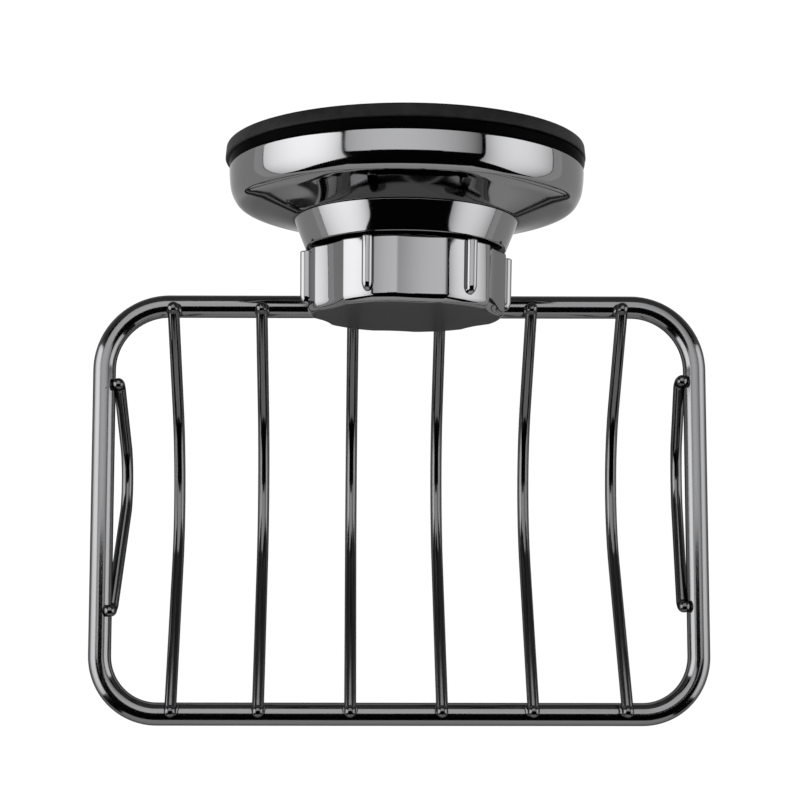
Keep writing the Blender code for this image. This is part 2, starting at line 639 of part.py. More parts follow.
def outer_rail(home, parent, surface):
    """Closed round-cornered frame of thick wire, the basket's edge."""
    half = RAIL_WIDTH / 2
    corners = [
        (half, RAIL_REAR_OUT, RAIL_REAR_CORNER, -90),
        (half, RAIL_FRONT_OUT, RAIL_FRONT_CORNER, 0),
        (-half, RAIL_FRONT_OUT, RAIL_FRONT_CORNER, 90),
        (-half, RAIL_REAR_OUT, RAIL_REAR_CORNER, 180),
    ]
    points = []
    for x, out, radius, start_deg in corners:
        centre_x = x - math.copysign(radius, x)
        centre_out = out + radius if out == RAIL_REAR_OUT else out - radius
        turn = arc(centre_x, centre_out, radius, start_deg, start_deg + 90, RAIL_CORNER_STEPS)
        points += [(run, -away, -RAIL_DROP) for run, away in turn]
    return wire("outer_rail", points, RAIL_RADIUS, RAIL_BEVEL_RESOLUTION, home, parent, surface, cyclic=True)


def bow(start, knee, end):
    """Points on the quadratic curve from start to end that leaves both towards the knee."""
    points = []
    for step in range(WIRE_STEPS + 1):
        share = step / WIRE_STEPS
        points.append(start * (1 - share) ** 2 + knee * 2 * share * (1 - share) + end * share**2)
    return points


def knee_for(start, end, span, low_share, sag):
    """Knee of the curve whose lowest point lies sag below zero, at low_share of the span."""
    run = (4 * span * low_share - start.x - end.x) / 2
    height = -2 * sag - (start.y + end.y) / 2
    return Vector((run, height))


def cross_profile():
    """Centreline of a cross wire as (run, height) from the rear rail's centre.

    The ends lie on the rails, touching them where the rail's surface has the wire's own slope.
    """
    rear_lean = front_lean = math.atan2(2 * CROSS_SAG, RAIL_DEPTH / 2)
    for _ in range(CONTACT_ROUNDS):
        rear = Vector((math.sin(rear_lean), math.cos(rear_lean))) * WIRE_REACH
        front = Vector((RAIL_DEPTH, 0)) + Vector((-math.sin(front_lean), math.cos(front_lean))) * WIRE_REACH
        knee = knee_for(rear, front, RAIL_DEPTH, CROSS_LOW_SHARE, CROSS_SAG)
        rear_lean = math.atan2(rear.y - knee.y, knee.x - rear.x)
        front_lean = math.atan2(front.y - knee.y, front.x - knee.x)
    rear_tip = rear + (rear - knee).normalized() * CROSS_TIP_OVERHANG
    front_tip = front + (front - knee).normalized() * CROSS_TIP_OVERHANG
    return [rear_tip] + bow(rear, knee, front) + [front_tip]


def side_profile():
    """Centreline of a side wire as (run, height) from the rear rail's centre."""
    run = RAIL_DEPTH - SIDE_REAR_INSET - SIDE_FRONT_INSET
    rear = Vector((0, SIDE_TIP_RISE))
    front = Vector((run, SIDE_TIP_RISE))
    knee = knee_for(rear, front, run, SIDE_LOW_SHARE, SIDE_SAG)
    return [point + Vector((SIDE_REAR_INSET, 0)) for point in bow(rear, knee, front)]


def side_reach(height):
    """Distance inward from the side rail's centre at which a side wire just clears the rail."""
    if height <= 0:
        return WIRE_REACH
    return math.sqrt(WIRE_REACH**2 - height**2)


def round_tips(points):
    """Add a rounded tip at both ends of a centreline and return it with its radius shares."""
    angles = [math.radians(TIP_LAST_DEG) * step / TIP_STEPS for step in range(1, TIP_STEPS + 1)]
    start = (points[0] - points[1]).normalized()
    end = (points[-1] - points[-2]).normalized()
    before = [points[0] + start * WIRE_RADIUS * math.sin(angle) for angle in reversed(angles)]
    after = [points[-1] + end * WIRE_RADIUS * math.sin(angle) for angle in angles]
    shares = [math.cos(angle) for angle in angles]
    return before + points + after, list(reversed(shares)) + [1.0] * len(points) + shares


def basket_wire(name, points, home, parent, surface):
    """Thin wire with rounded tips."""
    line, shares = round_tips(points)
    return wire(name, line, WIRE_RADIUS, WIRE_BEVEL_RESOLUTION, home, parent, surface, shares=shares)


def cross_wires(home, parent, surface):
    """Six sagging wires from the rear rail to the front one."""
    profile = cross_profile()
    for index in range(CROSS_WIRES):
        x = CROSS_ROW_SHIFT + (index - (CROSS_WIRES - 1) / 2) * CROSS_PITCH
        points = [Vector((x, -(RAIL_REAR_OUT + at.x), at.y - RAIL_DROP)) for at in profile]
        basket_wire(f"cross_wire_{index + 1}", points, home, parent, surface)


def side_wires(home, parent, surface):
    """Two short sagging wires, one along the inside of each side rail."""
    profile = side_profile()
    for side, name in ((-1, "side_wire_left"), (1, "side_wire_right")):
        points = []
        for at in profile:
            x = side * (RAIL_WIDTH / 2 - side_reach(at.y))
            points.append(Vector((x, -(RAIL_REAR_OUT + at.x), at.y - RAIL_DROP)))
        basket_wire(name, points, home, parent, surface)


def main():
    """Build the whole soap dish."""
    clear_scene()
    home = collection("suction_soap_dish")
    cutters = collection("cutters")
    rubber = material("black_rubber", (0.018, 0.018, 0.019), 0.62)
    plastic = material("black_plastic", (0.006, 0.006, 0.007), 0.25)
    chrome = material("dark_chrome", (0.50, 0.50, 0.52), 0.06, 1.0)
    wire_metal = material("black_nickel", (0.20, 0.20, 0.21), 0.16, 1.0)
    steel = material("stainless_steel", (0.56, 0.56, 0.57), 0.30, 1.0)
    brass = material("brass", (0.78, 0.57, 0.28), 0.28, 1.0)

    holder = empty("wall_holder", home)
    suction_pad(home, holder, rubber)
    pressure_frame(home, holder, plastic)
    cover_dome(home, holder, chrome)
    neck_collar(home, holder, chrome)
    washer("friction_washer", FRICTION_WASHER_RADIUS, FRICTION_WASHER_REAR_OUT, FRICTION_WASHER_THICKNESS,
           home, holder, rubber)

    screw_stud(home, empty("drawn_stud", home), steel)

    knob = empty("turning_knob", home)
    knob_shell(home, cutters, knob, chrome)
    knob_nut(home, cutters, knob, brass)
    washer("bearing_washer", BEARING_WASHER_RADIUS, BEARING_WASHER_REAR_OUT, BEARING_WASHER_THICKNESS,
           home, knob, steel)

    basket = empty("swivelling_basket", home)
    hanger_plate(home, basket, steel)
    outer_rail(home, basket, wire_metal)
    cross_wires(home, basket, wire_metal)
    side_wires(home, basket, wire_metal)


main()
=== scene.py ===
"""Looks of the suction soap dish: chromed suction cup and knob, black nickel wire basket, studio, camera.

Every length is in metres, in the part's own frame: the origin is the centre of the pad's wall face, +Y
points into the wall, +X is to the right and +Z is up, as seen by someone who faces the wall. "Out" is a
distance from the wall along -Y. An angle round the stud axis starts at +X and grows towards +Z.
"""

import logging
import math
import random
from collections.abc import Callable, Sequence
from dataclasses import dataclass, field
from enum import Enum
from typing import TypeVar

import bmesh
import bpy
from mathutils import Matrix, Vector


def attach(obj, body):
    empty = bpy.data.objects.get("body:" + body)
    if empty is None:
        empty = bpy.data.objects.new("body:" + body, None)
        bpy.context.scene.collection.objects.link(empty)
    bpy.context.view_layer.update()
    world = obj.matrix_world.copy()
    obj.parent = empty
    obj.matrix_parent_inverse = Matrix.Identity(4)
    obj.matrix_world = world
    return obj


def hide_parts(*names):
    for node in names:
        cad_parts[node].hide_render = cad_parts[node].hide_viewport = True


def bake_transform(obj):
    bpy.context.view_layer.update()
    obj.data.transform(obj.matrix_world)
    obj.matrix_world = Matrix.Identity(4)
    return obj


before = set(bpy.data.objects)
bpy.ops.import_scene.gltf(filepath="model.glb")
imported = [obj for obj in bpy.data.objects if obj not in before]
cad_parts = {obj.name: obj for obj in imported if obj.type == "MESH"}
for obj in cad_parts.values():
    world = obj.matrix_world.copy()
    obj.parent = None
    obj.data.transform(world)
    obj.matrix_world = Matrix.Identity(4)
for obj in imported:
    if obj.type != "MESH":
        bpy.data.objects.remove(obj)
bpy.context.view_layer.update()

MM = 0.001
TURN_STEPS = 240
RUN_ATTRIBUTE = "wire_run"

log = logging.getLogger("soap_dish")

Item = TypeVar("Item")
Point = tuple[float, float]
Corner = tuple[float, float, float]
Colour = tuple[float, float, float]
Place = tuple[float, float, float]
Ring = list[bmesh.types.BMVert]

# Most of a noise texture lies in this band of its range from 0 to 1.
NOISE_BAND: Point = (0.3, 0.7)
# How much bluer than grey the plated metals are, as a share of their tone.
COOLNESS = 0.02
# The most of a straight run that one rounded corner may take up, so that two corners never meet.
RUN_SHARE = 0.49


class Body(Enum):
    """Rigid bodies that the pieces ride on."""

    HOLDER = "wall_holder"
    STUD = "stud"
    KNOB = "knob"
    BASKET = "basket"


class Slot(Enum):
    """Material slots of the part's record."""

    RUBBER = "rubber"
    PLASTIC = "black_plastic"
    CHROME = "dark_chrome"
    NICKEL = "black_nickel"
    STEEL = "stainless_steel"


class Side(Enum):
    """Left and right of the basket, as the sign of X."""

    LEFT = -1
    RIGHT = 1

    def of(self, pair: tuple[Item, Item]) -> Item:
        """Return the left or the right one of a pair."""
        return pair[self is Side.RIGHT]


class NodeBook:
    """A node tree, with short calls for the nodes that the finishes and the studio share."""

    def __init__(self, tree: bpy.types.NodeTree) -> None:
        """Open a node tree."""
        self.tree = tree

    def add(self, kind: str, **settings: object) -> bpy.types.Node:
        """Add a node and set its properties.

        Args:
            kind: The node's type.
            settings: Properties of the node by name.

        Returns:
            The new node.
        """
        node = self.tree.nodes.new(kind)
        for key, value in settings.items():
            setattr(node, key, value)
        return node

    def link(self, source: bpy.types.NodeSocket, target: bpy.types.NodeSocket) -> None:
        """Join an output to an input."""
        self.tree.links.new(source, target)

    def place(self) -> bpy.types.NodeSocket:
        """Return the point's own coordinates on the piece, in metres."""
        return self.add("ShaderNodeTexCoord").outputs["Object"]

    def frontness(self) -> bpy.types.NodeSocket:
        """Measure how much the surface faces away from the wall.

        Returns:
            The share, from -1 to 1.
        """
        turn = self.add("ShaderNodeVectorTransform", vector_type="NORMAL",
                        convert_from="WORLD", convert_to="OBJECT")
        self.link(self.add("ShaderNodeNewGeometry").outputs["Normal"], turn.inputs["Vector"])
        split = self.add("ShaderNodeSeparateXYZ")
        self.link(turn.outputs["Vector"], split.inputs["Vector"])
        return self.calculate("MULTIPLY", split.outputs["Y"], -1.0)

    def run(self) -> bpy.types.NodeSocket:
        """Return the coordinates along a wire: round it in X and Y, and along it in Z, in metres."""
        return self.add("ShaderNodeAttribute", attribute_name=RUN_ATTRIBUTE).outputs["Vector"]

    def stretch(self, vector: bpy.types.NodeSocket, scale: Sequence[float]) -> bpy.types.NodeSocket:
        """Scale a vector along each axis.

        Args:
            vector: The vector to scale.
            scale: One factor for each axis.

        Returns:
            The scaled vector.
        """
        mapping = self.add("ShaderNodeMapping")
        mapping.inputs["Scale"].default_value = scale
        self.link(vector, mapping.inputs["Vector"])
        return mapping.outputs["Vector"]

    def noise(self, vector: bpy.types.NodeSocket, grain: float, detail: float) -> bpy.types.NodeSocket:
        """Add a noise texture.

        Args:
            vector: Where the noise is read.
            grain: Size of its largest spots in the vector's own unit.
            detail: Octaves of finer spots.

        Returns:
            The noise, from 0 to 1.
        """
        noise = self.add("ShaderNodeTexNoise")
        noise.inputs["Scale"].default_value = 1 / grain
        noise.inputs["Detail"].default_value = detail
        self.link(vector, noise.inputs["Vector"])
        return noise.outputs["Fac"]

    def specks(self, vector: bpy.types.NodeSocket, spacing: float, size_share: float) -> bpy.types.NodeSocket:
        """Add scattered round specks.

        Args:
            vector: Where the pattern is read.
            spacing: Mean distance between specks in the vector's own unit.
            size_share: Radius of a speck as a share of the spacing.

        Returns:
            1 at a speck's middle, falling to 0 at its edge.
        """
        cells = self.add("ShaderNodeTexVoronoi")
        cells.inputs["Scale"].default_value = 1 / spacing
        self.link(vector, cells.inputs["Vector"])
        return self.remap(cells.outputs["Distance"], (size_share, 0.0), (0.0, 1.0))

    def remap(self, value: bpy.types.NodeSocket, old: Point, new: Point) -> bpy.types.NodeSocket:
        """Map a value from one range to another and clamp it.

        Args:
            value: The value to map.
            old: Where the range starts and ends now.
            new: Where it starts and ends afterwards.

        Returns:
            The mapped value.
        """
        mapped = self.add("ShaderNodeMapRange")
        for key, number in zip(("From Min", "From Max", "To Min", "To Max"), (*old, *new)):
            mapped.inputs[key].default_value = number
        self.link(value, mapped.inputs["Value"])
        return mapped.outputs["Result"]

    def calculate(self, operation: str, *values: object) -> bpy.types.NodeSocket:
        """Calculate with sockets and numbers.

        Args:
            operation: The Math node's operation.
            values: Its inputs in order, each a socket or a number.

        Returns:
            The result.
        """
        node = self.add("ShaderNodeMath", operation=operation)
        for index, value in enumerate(values):
            if isinstance(value, bpy.types.NodeSocket):
                self.link(value, node.inputs[index])
            else:
                node.inputs[index].default_value = value
        return node.outputs[0]


class MaterialBook(NodeBook):
    """A new material's node tree, with calls that set its Principled shader."""

    def __init__(self, name: str) -> None:
        """Start a material with a Principled shader.

        Args:
            name: The material's name.
        """
        self.material = bpy.data.materials.new(name)
        self.material.use_nodes = True
        super().__init__(self.material.node_tree)
        self.shader = self.tree.nodes["Principled BSDF"]

    def tint(self, share: bpy.types.NodeSocket, low: Sequence[float], high: Sequence[float]) -> None:
        """Colour the shader between two linear colours.

        Args:
            share: 0 for the low colour, 1 for the high one.
            low: The first linear colour.
            high: The second linear colour.
        """
        mix = self.add("ShaderNodeMix", data_type="RGBA")
        mix.inputs["A"].default_value = (*low, 1.0)
        mix.inputs["B"].default_value = (*high, 1.0)
        self.link(share, mix.inputs["Factor"])
        self.link(mix.outputs["Result"], self.shader.inputs["Base Color"])

    def plate(self, share: bpy.types.NodeSocket, tone: float, spread: float, edge_tone: float) -> None:
        """Make the shader a dark and faintly cool plated metal.

        Args:
            share: 0 where the metal is darkest, 1 where it is palest.
            tone: Its mean linear tone.
            spread: How far the tone strays from it, as a share.
            edge_tone: Tone of its reflections at a grazing angle.
        """
        low, high = ((tone * level, tone * level, tone * (level + COOLNESS))
                     for level in (1 - spread, 1 + spread))
        self.tint(share, low, high)
        self.shader.inputs["Metallic"].default_value = 1.0
        self.shader.inputs["Specular Tint"].default_value = (edge_tone,) * 3 + (1.0,)

    def bump(self, layers: Sequence[tuple[bpy.types.NodeSocket, float]]) -> None:
        """Raise the surface by one or more height layers.

        Args:
            layers: Pairs of a height from 0 to 1 and its real height in metres.
        """
        previous = None
        for height, distance in layers:
            node = self.add("ShaderNodeBump")
            node.inputs["Strength"].default_value = 1.0
            node.inputs["Distance"].default_value = distance
            self.link(height, node.inputs["Height"])
            if previous:
                self.link(previous, node.inputs["Normal"])
            previous = node.outputs["Normal"]
        self.link(previous, self.shader.inputs["Normal"])

    def roughen(self, value: bpy.types.NodeSocket, smooth: float, rough: float) -> None:
        """Set the roughness between two values by a share from 0 to 1."""
        self.link(self.remap(value, NOISE_BAND, (smooth, rough)), self.shader.inputs["Roughness"])


@dataclass(frozen=True)
class PlatedMetal:
    """Polished dark plating over a moulded or spun piece, with a faint ripple and dry smudges."""

    name: str
    tone: float = 0.21
    tone_spread: float = 0.03
    edge_tone: float = 0.75
    ripple: float = 7.0 * MM
    ripple_height: float = 0.004 * MM
    peel: float = 0.9 * MM
    peel_height: float = 0.00012 * MM
    smudge: float = 9.0 * MM
    polish: float = 0.035
    dullest: float = 0.085
    satin_face: float = 0.0
    face_band: Point = (0.97, 0.995)

    def make(self) -> bpy.types.Material:
        """Build the finish's node tree.

        Returns:
            The material.
        """
        book = MaterialBook(self.name)
        place = book.place()
        patches = book.noise(place, self.smudge, detail=4.0)
        book.plate(patches, self.tone, self.tone_spread, self.edge_tone)
        rough = book.remap(patches, NOISE_BAND, (self.polish, self.dullest))
        if self.satin_face > 0:
            satin = book.remap(book.frontness(), self.face_band, (0.0, self.satin_face))
            rough = book.calculate("MAXIMUM", rough, satin)
        book.link(rough, book.shader.inputs["Roughness"])
        book.bump([
            (book.noise(place, self.ripple, detail=1.0), self.ripple_height),
            (book.noise(place, self.peel, detail=2.0), self.peel_height),
        ])
        return book.material


@dataclass(frozen=True)
class DrawnWireMetal:
    """Black nickel over drawn wire: fine lines along the wire, a few pits, and a soft polish."""

    name: str
    tone: float = 0.13
    tone_spread: float = 0.1
    edge_tone: float = 0.35
    line_width: float = 0.55 * MM
    line_length: float = 60.0 * MM
    line_height: float = 0.010 * MM
    grain: float = 0.22 * MM
    grain_height: float = 0.0006 * MM
    pit_spacing: float = 5.0 * MM
    pit_share: float = 0.055
    pit_depth: float = 0.05 * MM
    polish: float = 0.07
    dullest: float = 0.16

    def make(self) -> bpy.types.Material:
        """Build the finish's node tree.

        Returns:
            The material.
        """
        book = MaterialBook(self.name)
        run = book.run()
        drawn = book.stretch(run, (1.0, 1.0, self.line_width / self.line_length))
        lines = book.noise(drawn, self.line_width, detail=2.0)
        grain = book.noise(run, self.grain, detail=2.0)
        pits = book.specks(run, self.pit_spacing, self.pit_share)
        book.plate(lines, self.tone, self.tone_spread, self.edge_tone)
        book.roughen(grain, self.polish, self.dullest)
        sunk = book.calculate("MULTIPLY", pits, -1.0)
        book.bump([(lines, self.line_height), (grain, self.grain_height), (sunk, self.pit_depth)])
        return book.material


@dataclass(frozen=True)
class MouldedRubber:
    """Matte black rubber with a fine moulded grain and a little pale dust."""

    name: str
    dark: float = 0.003
    pale: float = 0.008
    dust: float = 2.4 * MM
    dust_band: Point = (0.35, 0.7)
    grain: float = 0.25 * MM
    grain_height: float = 0.012 * MM
    smooth: float = 0.42
    rough: float = 0.62
    shine: float = 0.12

    def make(self) -> bpy.types.Material:
        """Build the finish's node tree.

        Returns:
            The material.
        """
        book = MaterialBook(self.name)
        place = book.place()
        dust = book.noise(place, self.dust, detail=6.0)
        grain = book.noise(place, self.grain, detail=3.0)
        book.tint(book.remap(dust, self.dust_band, (0.0, 1.0)), (self.dark,) * 3, (self.pale,) * 3)
        book.roughen(grain, self.smooth, self.rough)
        book.bump([(grain, self.grain_height)])
        book.shader.inputs["Specular IOR Level"].default_value = self.shine
        return book.material


@dataclass(frozen=True)
class GlossPlastic:
    """Black moulded plastic with a polished skin and faint flow marks."""

    name: str
    dark: float = 0.0006
    pale: float = 0.0012
    flow: float = 5.0 * MM
    flow_squeeze: float = 6.0
    flow_height: float = 0.002 * MM
    smooth: float = 0.16
    rough: float = 0.30
    shine: float = 0.004

    def make(self) -> bpy.types.Material:
        """Build the finish's node tree.

        Returns:
            The material.
        """
        book = MaterialBook(self.name)
        place = book.place()
        flow = book.noise(book.stretch(place, (1.0, self.flow_squeeze, 1.0)), self.flow, detail=3.0)
        book.tint(flow, (self.dark,) * 3, (self.pale,) * 3)
        book.roughen(flow, self.smooth, self.rough)
        book.bump([(flow, self.flow_height)])
        book.shader.inputs["Specular IOR Level"].default_value = self.shine
        return book.material


@dataclass(frozen=True)
class BrushedSteel:
    """Stainless sheet with short brush lines up and down the plate."""

    name: str
    dark: float = 0.40
    pale: float = 0.56
    line_width: float = 0.08 * MM
    line_length: float = 6.0 * MM
    line_height: float = 0.002 * MM
    smooth: float = 0.22
    rough: float = 0.38

    def make(self) -> bpy.types.Material:
        """Build the finish's node tree.

        Returns:
            The material.
        """
        book = MaterialBook(self.name)
        share = self.line_width / self.line_length
        lines = book.noise(book.stretch(book.place(), (1.0, 1.0, share)), self.line_width, detail=3.0)
        book.tint(lines, (self.dark,) * 3, (self.pale,) * 3)
        book.roughen(lines, self.smooth, self.rough)
        book.bump([(lines, self.line_height)])
        book.shader.inputs["Metallic"].default_value = 1.0
        return book.material


@dataclass(frozen=True)
class TurnedMetal:
    """Metal turned on a lathe: fine rings along the stud axis, as on a screw or a washer."""

    name: str
    dark: Colour = (0.44, 0.44, 0.45)
    pale: Colour = (0.60, 0.60, 0.61)
    ring_pitch: float = 1.0 * MM
    ring_height: float = 0.15 * MM
    stain: float = 3.0 * MM
    smooth: float = 0.20
    rough: float = 0.36

    def make(self) -> bpy.types.Material:
        """Build the finish's node tree.

        Returns:
            The material.
        """
        book = MaterialBook(self.name)
        place = book.place()
        stain = book.noise(place, self.stain, detail=4.0)
        split = book.add("ShaderNodeSeparateXYZ")
        book.link(place, split.inputs["Vector"])
        turns = book.calculate("MULTIPLY", split.outputs["Y"], 1 / self.ring_pitch)
        rings = book.calculate("PINGPONG", turns, 0.5)
        book.tint(stain, self.dark, self.pale)
        book.roughen(stain, self.smooth, self.rough)
        book.bump([(rings, self.ring_height)])
        book.shader.inputs["Metallic"].default_value = 1.0
        return book.material


def on_axis(radius: float, angle: float, out: float) -> Vector:
    """Return the point at a radius and an angle round the stud axis, at a distance out from the wall."""
    return Vector((radius * math.cos(angle), -out, radius * math.sin(angle)))


def arc(centre: Point, radius: float, start_deg: float, sweep_deg: float, steps: int) -> list[Point]:
    """Return points along an arc, with both of its ends.

    Args:
        centre: The arc's centre.
        radius: Its radius.
        start_deg: The angle it starts at.
        sweep_deg: The angle it sweeps.
        steps: Its facets.

    Returns:
        One point more than it has facets.
    """
    angles = [math.radians(start_deg + sweep_deg * step / steps) for step in range(steps + 1)]
    return [(centre[0] + radius * math.cos(angle), centre[1] + radius * math.sin(angle)) for angle in angles]


def belly(share: float, ends: float) -> float:
    """Return a weld's thickness at a share of its length: 1 in its middle, and less at its ends."""
    return math.sqrt(max(1 - (2 * share - 1) ** 2, 0.0)) * (1 - ends) + ends


def rounded(corners: Sequence[Corner], steps: int = 6, closed: bool = True) -> list[Point]:
    """Round the corners of an outline.

    Args:
        corners: Corners as (radius, out, rounding radius); 0 keeps a corner sharp.
        steps: Facets on each rounded corner.
        closed: Whether the last corner joins the first one.

    Returns:
        The outline's points as (radius, out).
    """
    outline: list[Point] = []
    count = len(corners)
    for index, (radius, out, rounding) in enumerate(corners):
        here = Vector((radius, out))
        ends = not closed and index in (0, count - 1)
        if rounding <= 0 or ends:
            outline.append((radius, out))
            continue
        before = Vector(corners[index - 1][:2]) - here
        after = Vector(corners[(index + 1) % count][:2]) - here
        half = before.angle(after) / 2
        reach = min(rounding / math.tan(half), RUN_SHARE * before.length, RUN_SHARE * after.length)
        start = here + before.normalized() * reach
        finish = here + after.normalized() * reach
        true_radius = reach * math.tan(half)
        inward = (before.normalized() + after.normalized()).normalized()
        middle = here + inward * true_radius / math.sin(half)
        first = math.atan2(start.y - middle.y, start.x - middle.x)
        swing = math.atan2(finish.y - middle.y, finish.x - middle.x) - first
        swing = (swing + math.pi) % (2 * math.pi) - math.pi
        for step in range(steps + 1):
            angle = first + swing * step / steps
            outline.append((middle.x + true_radius * math.cos(angle),
                            middle.y + true_radius * math.sin(angle)))
    return outline


def bridge(shape: bmesh.types.BMesh, first: Ring, second: Ring) -> None:
    """Join two rings of corners with faces.

    Args:
        shape: The mesh that holds them.
        first: One ring; a ring of one corner is a pole.
        second: The next ring, with as many corners or one.
    """
    count = max(len(first), len(second))
    for index in range(count):
        following = (index + 1) % count
        if len(first) == 1:
            shape.faces.new((first[0], second[following], second[index]))
        elif len(second) == 1:
            shape.faces.new((first[index], first[following], second[0]))
        else:
            shape.faces.new((first[index], first[following], second[following], second[index]))


def solid_from(shape: bmesh.types.BMesh, name: str, smooth_deg: float = 32.0) -> bpy.types.Object:
    """Turn a bmesh into a smooth-shaded object with its real edges kept sharp.

    Args:
        shape: The finished mesh, which is freed.
        name: The piece's name.
        smooth_deg: Edges sharper than this stay crisp.

    Returns:
        The new object in the scene.
    """
    bmesh.ops.recalc_face_normals(shape, faces=shape.faces)
    mesh = bpy.data.meshes.new(name)
    shape.to_mesh(mesh)
    shape.free()
    mesh.shade_smooth()
    mesh.set_sharp_from_angle(angle=math.radians(smooth_deg))
    piece = bpy.data.objects.new(name, mesh)
    bpy.context.scene.collection.objects.link(piece)
    return piece


def turned(name: str, outline: Sequence[Point], closed: bool = True) -> bpy.types.Object:
    """Turn an outline about the stud axis.

    Args:
        name: The piece's name.
        outline: Points as (radius, out); a radius of zero is a pole.
        closed: Whether the last point joins the first one.

    Returns:
        The turned object.
    """
    shape = bmesh.new()
    angles = [2 * math.pi * step / TURN_STEPS for step in range(TURN_STEPS)]
    rings = []
    for radius, out in outline:
        if radius <= 0:
            rings.append([shape.verts.new((0, -out, 0))])
            continue
        rings.append([shape.verts.new(on_axis(radius, angle, out)) for angle in angles])
    for first, second in zip(rings, rings[1:]):
        bridge(shape, first, second)
    if closed:
        bridge(shape, rings[-1], rings[0])
    return solid_from(shape, name)


def swept(
    name: str,
    path: Sequence[Vector],
    radius: float,
    sides: int,
    closed: bool = False,
    tip_steps: int = 8,
    tip_share: float = 1.0,
    swell: Callable[[float], tuple[float, float]] | None = None,
    side_hint: Vector = Vector((1, 0, 0)),
) -> bpy.types.Object:
    """Sweep a round or oval section along a path, with round tips on an open one.

    Args:
        name: The piece's name.
        path: Points of the centreline.
        radius: The section's radius.
        sides: Facets round the section.
        closed: Whether the path is a loop.
        tip_steps: Rings on each round tip.
        tip_share: Height of a round tip as a share of the radius.
        swell: Factors on the section's width and height at a share of the path from 0 to 1.
        side_hint: Direction that the section's width starts in.

    Returns:
        The swept object, with the wire_run attribute on its points.
    """
    shape = bmesh.new()
    layer = shape.verts.layers.float_vector.new(RUN_ATTRIBUTE)
    count = len(path)
    tangents = []
    for index in range(count):
        before = path[index - 1] if closed or index else path[0]
        after = path[(index + 1) % count] if closed or index + 1 < count else path[-1]
        tangents.append((after - before).normalized())
    side = (side_hint - tangents[0] * side_hint.dot(tangents[0])).normalized()
    frames = []
    for tangent in tangents:
        side = (side - tangent * side.dot(tangent)).normalized()
        frames.append((side.copy(), tangent.cross(side)))
    travelled = [0.0]
    for first, second in zip(path, path[1:]):
        travelled.append(travelled[-1] + (second - first).length)

    def ring(index: int, push: float, share: float) -> Ring:
        """Add one ring of the section.

        Args:
            index: The point of the path that it stands at.
            push: How far it is pushed along the path there.
            share: Its size as a share of the section's.

        Returns:
            The ring.
        """
        width, height = swell(travelled[index] / travelled[-1]) if swell else (1.0, 1.0)
        across, up = frames[index]
        corners = []
        for step in range(sides):
            angle = 2 * math.pi * step / sides
            reach_x = radius * share * math.cos(angle)
            reach_y = radius * share * math.sin(angle)
            spot = path[index] + tangents[index] * push + across * reach_x * width + up * reach_y * height
            vert = shape.verts.new(spot)
            vert[layer] = (reach_x, reach_y, travelled[index] + push)
            corners.append(vert)
        return corners

    def pole(index: int, push: float) -> Ring:
        """Add the single corner at the end of a tip.

        Args:
            index: The end point of the path.
            push: How far the corner is pushed along the path there.

        Returns:
            The corner, as a ring of one.
        """
        vert = shape.verts.new(path[index] + tangents[index] * push)
        vert[layer] = (0, 0, travelled[index] + push)
        return [vert]

    rings = [ring(index, 0.0, 1.0) for index in range(count)]
    if not closed:
        last = len(path) - 1
        turns = [math.pi / 2 * step / tip_steps for step in range(1, tip_steps)]
        slimmest = [min(swell(share)) if swell else 1.0 for share in (0.0, 1.0)]
        first_tip, last_tip = (radius * tip_share * share for share in slimmest)
        before = [ring(0, -first_tip * math.sin(turn), math.cos(turn)) for turn in reversed(turns)]
        after = [ring(last, last_tip * math.sin(turn), math.cos(turn)) for turn in turns]
        rings = [pole(0, -first_tip)] + before + rings + after + [pole(last, last_tip)]
    for first, second in zip(rings, rings[1:]):
        bridge(shape, first, second)
    if closed:
        bridge(shape, rings[-1], rings[0])
    return solid_from(shape, name, smooth_deg=60.0)


def merged(main: bpy.types.Object, extras: Sequence[bpy.types.Object]) -> bpy.types.Object:
    """Put the meshes of some objects into the main one, as separate shells of one piece.

    Args:
        main: The object that stays.
        extras: The objects that go into it.

    Returns:
        The main object.
    """
    shape = bmesh.new()
    shape.from_mesh(main.data)
    for extra in extras:
        shape.from_mesh(extra.data)
        bpy.data.objects.remove(extra)
    shape.to_mesh(main.data)
    shape.free()
    return main


def settle(piece: bpy.types.Object, finish: bpy.types.Material, body: Body, slot: Slot, *nodes: str) -> None:
    """Give a piece its finish and its body, and hide the CAD nodes that it stands for.

    Args:
        piece: The piece.
        finish: Its material.
        body: The body it rides on.
        slot: Not used.
        nodes: The CAD nodes it replaces.
    """
    piece.data.materials.clear()
    piece.data.materials.append(finish)
    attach(piece, body.value)
    if nodes:
        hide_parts(*nodes)
    log.info("%s rides on %s, %d faces", piece.name, body.value, len(piece.data.polygons))


def refinish(node: str, finish: bpy.types.Material) -> None:
    """Give a CAD node that stays a better material.

    Args:
        node: The node's name.
        finish: Its material.
    """
    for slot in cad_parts[node].material_slots:
        slot.material = finish
    log.info("%s keeps its CAD shape", node)


